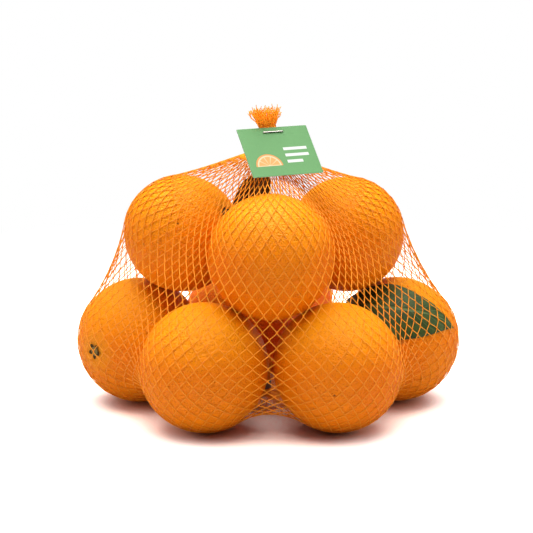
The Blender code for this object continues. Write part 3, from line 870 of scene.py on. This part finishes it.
# For each oval of the bunch: height, radius in mm, and how far the threads wander.
BUNCH = ((band_middle - 3 * MM, 3.3, 0.0), (band_middle + 3 * MM, 3.3, 0.0),
         (24 * MM, 4.4, 0.3), (30 * MM, 5.2, 0.8))


def bunch_piece():
    """Threads from the net's last row up through the band to a short frayed tail."""
    bearings = np.tile(bearing[-1], 2)
    share = ways_out(len(bearings))
    wander = chance.normal(0.0, 1.0, (len(share), 3))
    knots = [np.tile(bunch_ring, (2, 1))]
    for height, radius, stray in BUNCH:
        spot = in_oval(bunch + straight_up * height, TO_RIGHT, TO_BACK, radius * MM, radius * MM,
                       bearings, share)
        knots.append(spot + wander * stray * MM)
    knots = np.stack(knots, axis=1)
    path = through(knots, easy_slopes(knots), 3)
    outward = level_way(bearings)[:, None] + 0.01
    rings = rings_round(path, outward, THREAD_RADIUS * 0.8, LOOSE_SIDES)
    return skin("net_bottom_bunch_threads", rings, fields={"fused": 0.6})


bottom_bunch = bunch_piece()

# %% The band
BAND_SIDES, BAND_AROUND = 12, 72
BAND_HALF_WALL = 0.4 * MM
BAND_INSET = 0.5 * MM             # its wall's middle, inside the room that the frame gives it
GROOVES = 6
GROOVE_DEPTH = 0.22 * MM


def loop_skin(name, rings):
    """A closed loop such as a ring: steps join end to start, so there are no tips."""
    steps, sides, _ = rings.shape
    index = np.arange(steps * sides).reshape(steps, sides)
    beside = np.roll(index, -1, axis=1)
    quads = np.stack([index, beside, np.roll(beside, -1, axis=0), np.roll(index, -1, axis=0)], -1)
    mesh = bpy.data.meshes.new(name)
    mesh.from_pydata(rings.reshape(-1, 3).tolist(), [], quads.reshape(-1, 4)[:, ::-1].tolist())
    mesh.shade_smooth()
    print(name, steps * sides, "points")
    return in_scene(name, mesh)


def squared(wave, power):
    """A wave pressed towards a square one: its sign times its size to a power."""
    return np.sign(wave) * np.abs(wave) ** power


def band_rings():
    """A ring with a flattened section, its wall pinched by shallow grooves that run up it."""
    turn = around(BAND_AROUND)
    groove = GROOVE_DEPTH * np.maximum(0, np.cos(GROOVES * turn)) ** 3
    radius = (clip_high[0] - clip_low[0]) / 2 - BAND_INSET - groove
    path = radius[:, None] * level_way(turn)
    section = around(BAND_SIDES)
    thick = BAND_HALF_WALL * squared(np.cos(section), 0.5)
    tall = (clip_high[2] - clip_low[2]) / 2 * squared(np.sin(section), 0.4)
    return ((clip_low + clip_high) / 2 + path[:, None] + thick[:, None] * unit(path)[:, None]
            + tall[:, None] * straight_up)


band = loop_skin("bottom_band", band_rings())

# %% [markdown]
# ## The oranges
# An orange is nearly a ball, a little lower than wide or the other way round, with shallow swells,
# a dimple at the stem and a faint nub at the other end. Sculpting nine of them would be slow and
# uneven. Here each is a ball in latitude and longitude about its stem, drawn in by slow waves, so
# that no two are alike and none comes out through the net. Pores are too small for the mesh and are
# left to the material.

# %% Fruit bodies
FRUIT_AROUND = 128
FRUIT_UP = 66
FIRST_RING = 0.012                # radians from the stem's axis
DIMPLE, HOLLOW, NUB, SWELL = 0.045, 0.018, 0.012, 0.004     # depths, as shares of the radius
# Painted highlight: the upper side of each fruit is painted paler, up to this share.
MOST_PAINTED_TOP_LIGHT = 0.85             # the most that a fruit's crown takes of its paler colour
SQUEEZE = {"front_left": (0.990, 0.995, 1.0), "front_right": (0.993, 0.995, 1.0)}


def stem_frame(stem):
    """Two directions square to the stem, and the stem."""
    side = unit(np.cross(stem, (0.3, 0.2, 0.93)))
    return side, np.cross(stem, side), stem


def swell(way, number):
    """About 0 to 1: a sum of three slow waves over the ball, different for each fruit."""
    turn = 1.7 * number
    waves = (np.sin(2.6 * way[..., 0] + 1.9 * way[..., 1] + turn)
             + np.sin(3.1 * way[..., 1] - 2.3 * way[..., 2] + 2 * turn)
             + np.sin(2.9 * way[..., 2] + 2.2 * way[..., 0] - turn))
    return 0.5 + waves / 6


def fruit_surface(fruit, number, place):
    """Rings from the stem end to the other: radius * (1 - swells - dimple and hollow - nub).

    Dimple, hollow and nub are bells about the two ends, and the hollow is waved by five ribs.
    Also gives how far each point is from the stem, and how much it faces up.
    """
    side, other, stem = stem_frame(fruit["stem"])
    fall = np.linspace(FIRST_RING, math.pi - FIRST_RING, FRUIT_UP)[:, None]
    turn = around(FRUIT_AROUND)
    way = moved(0.0, (np.cos(fall) + 0 * turn, stem), (np.sin(fall) * np.cos(turn), side),
                (-np.sin(fall) * np.sin(turn), other))
    ribs = 1 + 0.35 * np.cos(5 * turn + number) * np.exp(-(fall / 0.3) ** 2)
    dimple = DIMPLE * np.exp(-(fall / 0.13) ** 2) + HOLLOW * np.exp(-(fall / 0.36) ** 2) * ribs
    nub = NUB * np.exp(-((math.pi - fall) / 0.2) ** 2)
    size = 1 - SWELL * swell(way, number) - dimple - nub
    squeeze = np.array(SQUEEZE.get(place, (0.997, 0.997, 1.0)))
    points = fruit["centre"] + fruit["radius"] * size[..., None] * way * squeeze
    tips = fruit["centre"] + fruit["radius"] * np.stack(
        [stem * (size[0].mean() - 0.0005), -stem * (size[-1].mean() + 0.0002)]) * squeeze
    # Painted highlight: the more a point faces up, the more of the paler colour it takes.
    painted_top_light = MOST_PAINTED_TOP_LIGHT * np.clip((way[..., 2] - 0.15) / 0.65, 0, 1)
    return points[None], tips[None], fall / math.pi, painted_top_light[None]


# %% [markdown]
# Each fruit carries three numbers for the peel: how far a point is from the stem, one tone for the
# whole fruit, and how much painted highlight the point takes on its upper side. The tone differs at
# random from fruit to fruit. Two fruits are out of sight but for slivers between the others, where
# they are seen in deep shade, so theirs are darker: painted shade.

# %% Build the fruits
oranges = []
for number, (place, fruit) in enumerate(fruits.items()):
    points, tips, from_stem, painted_top_light = fruit_surface(fruit, number, place)
    in_sight = place not in ("middle", "back")
    # Tone differs at random; the two hidden fruits get a low one: painted shade.
    tone_and_painted_shade = 0.2 + in_sight * (0.3 + 0.5 * ((0.6 + number * GOLDEN) % 1.0))
    from_stem = np.broadcast_to(from_stem, points.shape[1:3])[None]
    # The middle fruit is seen in deep shade, so it takes less of the painted highlight.
    painted_top_light = painted_top_light * (0.45 if place == "middle" else 1.0)
    oranges.append(skin("orange_" + place + "_peel", points, tips,
                        {"from_stem": from_stem, "tone_and_painted_shade": tone_and_painted_shade, "painted_top_light": painted_top_light}))

# %% [markdown]
# ## The stem ends
# Where the stalk broke off, a dry star is left: a pale olive scar with a raised rim, and five small
# brown lobes, the old sepals. It is a disc whose outline waves five times, curled up at the tips.

# %% Calyx stars
LOBES = 5
STAR_AROUND = 60
STAR_REACH = 5.0 * MM
STAR_SINK = 0.052                 # its seat under the fruit's radius, as a share of that radius
STAR_THICK = 0.75 * MM
# The profile from the middle of the scar over its rim to the lobes' tips and back underneath:
# share of the reach, and height in mm.
PROFILE = ((0.10, 0.28), (0.25, 0.24), (0.38, 0.26), (0.46, 0.42), (0.52, 0.30), (0.60, 0.16),
           (0.72, 0.12), (0.86, 0.16), (0.97, 0.30), (1.0, 0.36), (0.97, 0.22), (0.8, 0.0),
           (0.5, -0.1), (0.1, -0.1))


def calyx_surface(fruit, number):
    """Rings along the profile. Their reach is waved by cos(LOBES * turn), more towards the edge."""
    side, other, stem = stem_frame(fruit["stem"])
    turn = around(STAR_AROUND)
    wave = np.cos(LOBES * turn + number) * 0.5 + 0.5
    share, height = np.array(PROFILE).T
    lobe = np.clip((share - 0.5) / 0.5, 0, 1)[:, None]
    reach = STAR_REACH * share[:, None] * (1 - lobe * 0.50 * (1 - wave ** 0.8))
    rough = 0.06 * np.sin(7 * turn + 11 * share[:, None] * 3 + number)
    lift = (height[:, None] * (1 - 0.6 * lobe * (1 - wave)) + rough * lobe) * MM
    seat = fruit["centre"] + stem * fruit["radius"] * (1 - STAR_SINK)
    points = moved(seat, (lift + STAR_THICK, stem), (reach * np.cos(turn), side),
                   (-reach * np.sin(turn), other))
    return points[None], np.broadcast_to(share[:, None], reach.shape)[None]


stars = []
for number, (place, fruit) in enumerate(fruits.items()):
    points, share = calyx_surface(fruit, number)
    stars.append(skin("calyx_" + place, points, fields={"from_middle": share}))

# %% [markdown]
# ## The leaves
# A citrus leaf is a thin leathery blade, slightly creased along its midrib and puckered between
# its side veins. Each is a closed plate: one ring goes across the top face and back under it, and
# the rings follow one another from stalk to tip. Where a point lies along and across the blade is
# stored for the veins.

# %% Leaf plates
LEAF_ACROSS = 25
LEAF_STEPS = 90
SIDE_VEINS = 17                   # along the whole blade
VEIN_SLANT = 3.2                  # vein spacings that a vein runs forward on its way to the edge
PUCKER = 0.16 * MM


def leaf_plate(name, place_of, out_of, wall=LEAF_WALL):
    """A closed plate from place_of(share, side), thickened along out_of(share, side)."""
    share = np.linspace(0.004, 0.996, LEAF_STEPS)[:, None]
    side = np.linspace(-1, 1, LEAF_ACROSS)[None, :]
    under = place_of(share, side)
    over = under + wall * out_of(share, side) * (1 - 0.5 * np.abs(side[..., None]) ** 8)
    rings = np.concatenate([over, under[:, ::-1]], axis=1)[None]
    sides = np.concatenate([side + 0 * share, (side + 0 * share)[:, ::-1]], axis=1)[None]
    shares = np.broadcast_to(share, rings.shape[1:3])[None]
    return skin(name, rings, fields={"share": shares, "side": sides})


def pucker(share, side):
    """Swells between side veins, in metres: a wave that slants away from the midrib."""
    out = np.abs(side)
    slant = share * SIDE_VEINS - VEIN_SLANT * out
    return PUCKER * np.sin(2 * math.pi * slant) * np.sin(math.pi * out) * (1 - share)


def right_leaf_way(share, side):
    """Direction from the fruit's centre, from latitude and longitude in the tilted frame."""
    latitude = leaf_midrib(share) + side * leaf_half(share, LEAF_WIDTH) / leaf_radius
    longitude = leaf_longitude + leaf_sweep * share + 0 * latitude
    level = np.cos(latitude)
    return np.stack([level * np.sin(longitude), -level * np.cos(longitude),
                     np.sin(latitude)], axis=-1) @ tilt.T


def right_leaf_place(share, side):
    """On the fruit, with its puckers, and a little higher towards the midrib."""
    rise = leaf_radius + pucker(share, side) + 0.1 * MM * (1 - np.abs(side))
    return leaf_fruit["centre"] + rise[..., None] * right_leaf_way(share, side)


right_leaf = leaf_plate("leaf_right_blade", right_leaf_place, right_leaf_way)

# %% [markdown]
# The second leaf grows from the top left fruit's stem and stands in the hollow under the card.

# %% Top leaf
TOP_LEAF_WIDE = 31 * MM
TOP_LEAF_LONG = 32 * MM
TOP_LEAF_ASIDE = 3.0 * MM         # how far its tip stands to the right


def top_leaf_axes():
    """Base, direction up the leaf, across it and the way its face bows.

    The leaf points at the neck, turned just so far that it doesn't run into the front fruit.
    """
    own = fruits["top_left"]
    base = own["centre"] + own["stem"] * (own["radius"] + 1.55 * MM)
    towards_front = unit(fruits["top_front"]["centre"] - base)
    rise = unit(collar + np.array((0.0, 10.0, -7.35)) * MM - base)
    rise = unit(rise - max(0.0, float(rise @ towards_front)) * towards_front)
    across = unit(np.cross(rise, towards_front))
    return base, rise, across, unit(np.cross(across, rise))


leaf_base, leaf_rise, leaf_across, leaf_bend = top_leaf_axes()


def top_leaf_place(share, side):
    """base + rise along the leaf + half-width across it, bowed and dished by sin(pi * share)."""
    half = leaf_half(share ** 1.1, TOP_LEAF_WIDE)
    swelling = np.sin(math.pi * share)
    bow = 2.5 * MM * swelling + 1.2 * MM * (side ** 2) * swelling + pucker(share, side)
    along = share + 0 * side
    return moved(leaf_base, (TOP_LEAF_ASIDE * along, TO_RIGHT), (TOP_LEAF_LONG * along, leaf_rise),
                 (side * half, leaf_across), (bow, leaf_bend))


top_leaf = leaf_plate("leaf_top_blade", top_leaf_place, lambda share, side: -leaf_bend)

# %% [markdown]
# ## The card
# One piece of green card with a crease under its staple. Its outline is a rectangle with small
# round corners: the half-width shrinks near the two ends as a quarter circle does. It is one skin,
# with a shallow dent along the crease.

# %% Card
CARD_WIDE = 45.0 * MM
CARD_TALL = 34.7 * MM
CREASE = -5.9 * MM                # below the card's top edge
CREASE_DENT = 0.03 * MM
CREASE_REACH = 0.25 * MM
CORNER = 0.35 * MM
CARD_ACROSS = 21                  # points across each face


def card_surface():
    """Rings round the card from its bottom edge to its top: across the front, back behind it.

    Rings lie close at the two ends and at the crease, whose dent is a bell of the height.
    """
    near = np.linspace(0, 1, 7) ** 2 * CORNER
    height = np.concatenate([-CARD_TALL + near,
                             np.linspace(-CARD_TALL + 2 * MM, CREASE - 2 * MM, 24),
                             CREASE + np.linspace(-0.9, 0.9, 9) * MM,
                             np.linspace(CREASE + 2 * MM, -2 * MM, 4), (-near)[::-1]])
    edge = np.minimum(height + CARD_TALL, -height)
    round_off = CORNER - np.sqrt(np.maximum(0, CORNER ** 2 - np.maximum(0, CORNER - edge) ** 2))
    side = np.sin(np.linspace(-1, 1, CARD_ACROSS) * math.pi / 2)
    across = np.multiply.outer(CARD_WIDE / 2 - round_off, np.concatenate([side, side[::-1]]))
    soften = 0.10 * MM * np.concatenate([np.abs(side), np.abs(side)]) ** 40
    into = (np.concatenate([0 * side, 0 * side + CARD_WALL])
            + soften * np.repeat((1, -1), CARD_ACROSS))
    fold = CREASE_DENT * np.exp(-((height - CREASE) / CREASE_REACH) ** 2)
    depth = into + fold[:, None]
    upright = np.broadcast_to(height[:, None], across.shape)
    points = on_card(across, depth, upright)
    face = np.broadcast_to(np.repeat((1.0, 0.0), CARD_ACROSS), across.shape)
    return points[None], across[None] / MM, upright[None] / MM, face[None]


points, card_x, card_z, card_face = card_surface()
card = skin("card", points, fields={"card_x": card_x, "card_z": card_z, "card_face": card_face})

# %% [markdown]
# ## The staple
# One length of flat-sided steel wire: crown on the card, both legs down beside the bunch, and the
# ends folded in behind it.

# %% Staple
STAPLE_HALF = 6.35 * MM           # half its crown, over the wire's middle
WIRE_HALF = 0.34 * MM
WIRE_SIDES = 12
STAPLE_FRONT = -0.48 * MM         # the crown's middle line, before the card's face
STAPLE_BEND = 0.55 * MM


def staple_line():
    """The wire's middle line, across the card and into it: half of it, and its mirror image."""
    front = STAPLE_FRONT
    behind = CARD_WALL + 0.6 * MM + 2 * NECK_FLAT[1] + WIRE_HALF
    bend = np.linspace(0, math.pi / 2, 6)
    inner_end = np.array(((-STAPLE_HALF + 4.6 * MM, behind + 0.1 * MM),
                          (-STAPLE_HALF + 2 * MM, behind)))
    back_bend = np.stack([-STAPLE_HALF + STAPLE_BEND - STAPLE_BEND * np.sin(bend),
                          behind - STAPLE_BEND + STAPLE_BEND * np.cos(bend)], axis=-1)
    front_bend = np.stack([-STAPLE_HALF + STAPLE_BEND - STAPLE_BEND * np.cos(bend),
                           front + STAPLE_BEND - STAPLE_BEND * np.sin(bend)], axis=-1)
    half = np.concatenate([inner_end, back_bend, front_bend, [(-STAPLE_HALF / 2, front)]])
    return np.concatenate([half, half[::-1] * (-1, 1)])


def staple_piece():
    """Rings round the line: a circle pushed out towards a square by a power of its reach."""
    line = staple_line()
    path = on_card(line[:, 0], line[:, 1], -STAPLE_DOWN)[None]
    ahead = unit(np.gradient(path, axis=1))
    up = np.broadcast_to(card_up, path.shape)
    out = np.cross(ahead, up)
    turn = 2 * math.pi * (np.arange(WIRE_SIDES) + 0.5) / WIRE_SIDES
    soft = 1 / np.maximum(np.abs(np.cos(turn)), np.abs(np.sin(turn))) ** 0.75
    spokes = ((soft * np.cos(turn))[:, None] * up[..., None, :]
              - (soft * np.sin(turn))[:, None] * out[..., None, :])
    return skin("staple_wire", path[..., None, :] + WIRE_HALF * spokes)


staple = staple_piece()

# %% [markdown]
# ## Finishes
# ### Peel
# Orange peel is a waxy skin over oil glands. Each gland is a pit about a millimetre from the next,
# and the pits' middles are darkened as painted shade. The wax between them is glossy, which breaks
# a soft box's reflection into short glints. Colour drifts slowly over a fruit, from fruit to fruit
# and towards the stem, and a few fruits carry a blemish or specks. The crowns are painted paler, a
# painted highlight, and the two hidden fruits darker, as painted shade. Under a wide lamp a glossy
# skin would look bleached, so the peel is mostly a matt shader, with a small share of a glossy one.

# %% The peel's colour
peel = Finish("peel", "peel")
drift = peel.noise(28, 3)
pits = peel.cells(900)
fine = peel.noise(1500, 2)
# The ramp's low end, reached mostly by the two hidden fruits, is painted shade.
coloured = peel.ramp(drift * 0.45 + peel.field("tone_and_painted_shade") * 0.45,
                     [(0.0, (0.72, 0.090, 0.0004)), (0.25, (0.80, 0.125, 0.0005)),
                      (0.42, (0.87, 0.190, 0.0006)), (0.60, (0.89, 0.230, 0.0008)),
                      (0.95, (0.92, 0.295, 0.0015))])
# Painted highlight: the crowns are painted paler, as if the lamp above lit them most.
coloured = peel.mix(peel.field("painted_top_light"), coloured, (0.95, 0.365, 0.004))
# Painted shade: the middles of the pits are darkened.
coloured = peel.mix(pits.below(0.12, 0.42) * 0.4, coloured, (0.60, 0.10, 0.001))
near_stem = peel.field("from_stem").below(0.03, 0.16)
coloured = peel.mix(near_stem * 0.35, coloured, (0.80, 0.42, 0.02))
blemish = peel.noise(95, 4).above(0.7183, 0.7517)
coloured = peel.mix(blemish * 0.55, coloured, (0.42, 0.15, 0.02))
specks = peel.cells(95, 0.0).below(0.05, 0.085) * peel.noise(45, 1).above(0.52, 0.6)
coloured = peel.mix(specks * 0.75, coloured, (0.16, 0.055, 0.010))

# %% The peel's relief and wax
PIT_DEPTH = 0.30 * MM
SWELL_DEPTH = 0.8 * MM
WAX_SHARE = 0.27

relief = peel.bump(pits.above(0.05, 0.6) + fine * 0.3, PIT_DEPTH, 1.0,
                   peel.bump(peel.noise(780, 2), SWELL_DEPTH))
peel.set(Base_Color=coloured, Roughness=0.6, Normal=relief, Specular_IOR_Level=0.0)
wax = peel.node("ShaderNodeBsdfPrincipled", None,
                {"Base Color": coloured, "Roughness": 0.24 + 0.12 * fine, "Normal": relief,
                 "Specular IOR Level": 0.5})
peel.surface(peel.node("ShaderNodeMixShader", None, [WAX_SHARE, peel.main, wax]))
peel.on(*oranges)

# %% [markdown]
# ### Stem ends and leaves
# The scar is pale olive and corky, its lobes dark brown. Leaf veins are drawn from the two numbers
# that each blade carries: the midrib where side is 0, and slanting side veins from share and side.

# %% Stem ends
dry = Finish("dry_calyx", "stem_button")
grain = dry.noise(2600, 3)
scar = dry.ramp(grain, [(0.3, (0.17, 0.115, 0.030)), (0.7, (0.34, 0.25, 0.08))])
lobes = dry.ramp(grain, [(0.3, (0.045, 0.022, 0.006)), (0.75, (0.13, 0.072, 0.018))])
dry.set(Base_Color=dry.mix(dry.field("from_middle").above(0.50, 0.64), scar, lobes),
        Roughness=0.8, Normal=dry.bump(grain, 0.2 * MM), Specular_IOR_Level=0.1)
dry.on(*stars)

# %% Leaves
def leaf_finish(name, deep, pale, rib):
    """Leathery green: base cloud, midrib, side veins and a fine net of pores."""
    blade = Finish(name, "leaf")
    share = blade.field("share")
    side = blade.field("side")
    out = blade.sum("ABSOLUTE", side)
    midrib = out.below(0.02, 0.075)
    from_vein = blade.sum("PINGPONG", share * SIDE_VEINS - out * VEIN_SLANT, 0.5)
    veins = from_vein.below(0.02, 0.10) * (1 - out * 0.6)
    cloud = blade.noise(160, 4)
    skin_colour = blade.mix(cloud.above(0.3, 0.75), deep, pale)
    skin_colour = blade.mix(veins * 0.45, skin_colour, rib)
    skin_colour = blade.mix(midrib * 0.8, skin_colour, rib)
    raised = blade.bump(veins + midrib * 2, 0.25 * MM, 0.8)
    relief = blade.bump(blade.cells(1500), 0.10 * MM, 0.6, raised)
    blade.set(Base_Color=skin_colour, Roughness=0.42 + 0.2 * cloud, Normal=relief,
              Specular_IOR_Level=0.25)
    return blade


leaf_finish("right_leaf_green", (0.025, 0.054, 0.009), (0.056, 0.100, 0.020),
            (0.120, 0.185, 0.055)).on(right_leaf)
leaf_finish("top_leaf_olive", (0.060, 0.035, 0.008), (0.110, 0.070, 0.018),
            (0.17, 0.11, 0.03)).on(top_leaf)

# %% [markdown]
# ### Netting
# The threads are polyethylene, coloured right through. Where they are stretched they go paler, and
# the fused joints keep the full colour.

# %% Netting
netting = Finish("orange_netting", "netting")
streak = netting.noise(260, 2)
thread_colour = netting.ramp(netting.field("fused") * 0.8 + streak * 0.2,
                             [(0.08, (0.90, 0.33, 0.030)), (0.5, (0.88, 0.28, 0.020)),
                              (0.95, (0.82, 0.22, 0.012))])
netting.set(Specular_IOR_Level=0.05, Base_Color=thread_colour, Roughness=0.38 + streak * 0.1,
            Normal=netting.bump(netting.noise(2200, 2), 0.05 * MM, 0.5))
netting.on(*net_zones, bottom_bunch)

# %% [markdown]
# In the tuft the loose threads pass light on from one to the next, which a few bounces off solid
# tubes can't follow, so its inside would turn brown. A faint painted glow of its own colour stands
# for it: the tuft glows though it is no lamp.

# %% Tuft
PAINTED_GLOW = 0.12

brush = Finish("orange_tuft", "netting")
tuft_colour = brush.ramp(brush.noise(900, 2),
                         [(0.3, (0.96, 0.32, 0.016)), (0.7, (0.97, 0.42, 0.030))])
brush.set(Base_Color=tuft_colour, Roughness=0.45, Specular_IOR_Level=0.05,
          Emission_Color=tuft_colour, Emission_Strength=PAINTED_GLOW)
brush.on(neck)

# %% [markdown]
# ### Card
# Matt green board, printed with a generic design of its own: a half slice of citrus and three plain
# bars. The print is worked out from the two distances that the card's mesh carries, in millimetres.

# %% Card and its print
SLICE_X, SLICE_Z = -9.5, -27.5              # middle of the slice's straight edge, in mm
BARS = ((2.5, 17.5, -17.0), (2.5, 17.5, -21.5), (2.5, 12.5, -26.0))     # left, right, low edge
BAR_TALL = 2.0


def card_print(board, x, z, green):
    """The half slice low on the left, its wedges cut by a wave of the angle, and three bars."""
    dx = x - SLICE_X
    dz = z - SLICE_Z
    distance = (dx * dx + dz * dz) ** 0.5
    turn = board.sum("ARCTAN2", dz, dx)
    upper = dz.above(-0.08, 0.08)
    wedge = board.sum("PINGPONG", turn * (5 / math.pi), 0.5)
    flesh = (distance.below(6.55, 6.7) * distance.above(0.9, 1.05) * wedge.above(0.05, 0.085)
             * dz.above(0.42, 0.58))
    colour = board.mix(distance.below(8.4, 8.55) * upper, green, (0.62, 0.24, 0.05))
    colour = board.mix(distance.below(7.5, 7.65) * upper, colour, (0.62, 0.50, 0.28))
    colour = board.mix(flesh, colour, (0.62, 0.30, 0.08))
    for left, right, low in BARS:
        high = low + BAR_TALL
        bar = (x.above(left - 0.08, left + 0.08) * x.below(right - 0.08, right + 0.08)
               * z.above(low - 0.08, low + 0.08) * z.below(high - 0.1, high + 0.1))
        colour = board.mix(bar, colour, (0.62, 0.63, 0.60))
    return colour


board = Finish("green_card", "card")
fibre = board.noise(1900, 3)
cloudy = board.noise(120, 3)
green = board.ramp(fibre * 0.7 + cloudy * 0.3,
                   [(0.3, (0.082, 0.245, 0.070)), (0.7, (0.102, 0.282, 0.086))])
printed = card_print(board, board.field("card_x"), board.field("card_z"), green)
paper_back = board.ramp(fibre, [(0.3, (0.60, 0.60, 0.56)), (0.7, (0.72, 0.72, 0.68))])
in_front = board.field("card_face").above(0.4, 0.6)
board.set(Base_Color=board.mix(in_front, paper_back, printed), Roughness=0.62,
          Normal=board.bump(fibre, 0.06 * MM, 0.5))
board.on(card)

# %% [markdown]
# ### Metal
# The staple is drawn steel wire with fine lengthwise scratches, and the band is softer aluminium
# that its tool has scuffed. The band's colour is darkened with painted shade, for the shaded
# hollow under the heap where it sits.

# %% Steel and aluminium
def metal_finish(name, slot, colour, low, high, scratch):
    """Metal whose roughness runs in scratches, stretched by the given factors along x, y and z."""
    metal = Finish(name, slot)
    lines = metal.noise(1400, 3, stretch=scratch)
    shade = metal.ramp(lines, [(0.3, tuple(0.8 * part for part in colour)), (0.7, colour)])
    metal.set(Base_Color=shade, Roughness=low + (high - low) * lines, Metallic=1.0,
              Normal=metal.bump(lines, 0.03 * MM, 0.4))
    return metal


steel = metal_finish("staple_steel", "bright_steel", (0.50, 0.46, 0.43), 0.22, 0.42,
                     (0.2, 0.2, 2.0))
steel.on(staple)
# Painted shade: the band's dark colour stands for the shade in the hollow under the heap.
aluminium = metal_finish("band_aluminium_painted_shade", "clip_metal", (0.20, 0.17, 0.15), 0.35, 0.6,
                         (2.0, 2.0, 0.2))
aluminium.on(band)

# %% [markdown]
# ## Hand each piece to the frame
# A piece rides on the body that it moves with. The shoulder of the net, the neck and the card stay
# where they were built, with their places baked into their meshes.

# %% What rides on what
on_net = (upper_net, lower_net, base_net, bottom_bunch, band, right_leaf, top_leaf,
          *oranges, *stars)
for piece in on_net:
    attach(piece, "net")
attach(staple, "neck")


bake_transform(shoulder)
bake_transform(neck)
tuple(on_card(0.0, 0.2 * MM, CREASE + 0.5 * MM))
tuple(on_card(0.0, 0.2 * MM, CREASE - 0.5 * MM))
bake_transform(card)

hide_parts("net_body")
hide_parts("net_collar", "net_neck")
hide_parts("net_bottom_bunch")
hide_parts("bottom_clip")
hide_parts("staple")
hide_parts("tag_strip", "tag_flap")
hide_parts("leaf_right")
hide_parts("leaf_top")
for place, orange, star in zip(PLACES, oranges, stars):
    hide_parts("orange_" + place)
    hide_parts("button_" + place)
print(len(on_net), "pieces ride on the net's body, and the staple on the neck")

# %% [markdown]
# The net is a sheet: its flat size is the tube laid flat and unstretched, and its area is that of
# the plastic only, half of the threads' skin at their rest length.

FLAT_WIDE, FLAT_TALL = 0.75, 0.82           # a relaxed cell, in lengths of a thread
FUSED_MORE = 1.1                            # more skin, where threads are thicker at the joints


def net_sheet(piece, first_row, last_row):
    """Flat width and length of a zone at rest, and half the skin of its threads."""
    rows = last_row - first_row
    width = CELLS_ROUND * THREAD_LENGTH * FLAT_WIDE
    length = rows * THREAD_LENGTH * FLAT_TALL
    area = 2 * CELLS_ROUND * rows * THREAD_LENGTH * math.pi * THREAD_RADIUS * FUSED_MORE
    print(piece.name, "flat", round(width / MM), "x", round(length / MM), "mm, plastic",
          round(area * 1e6), "square mm")


for piece, (_, first_row, last_row) in zip(net_zones, ZONES):
    net_sheet(piece, first_row, last_row)
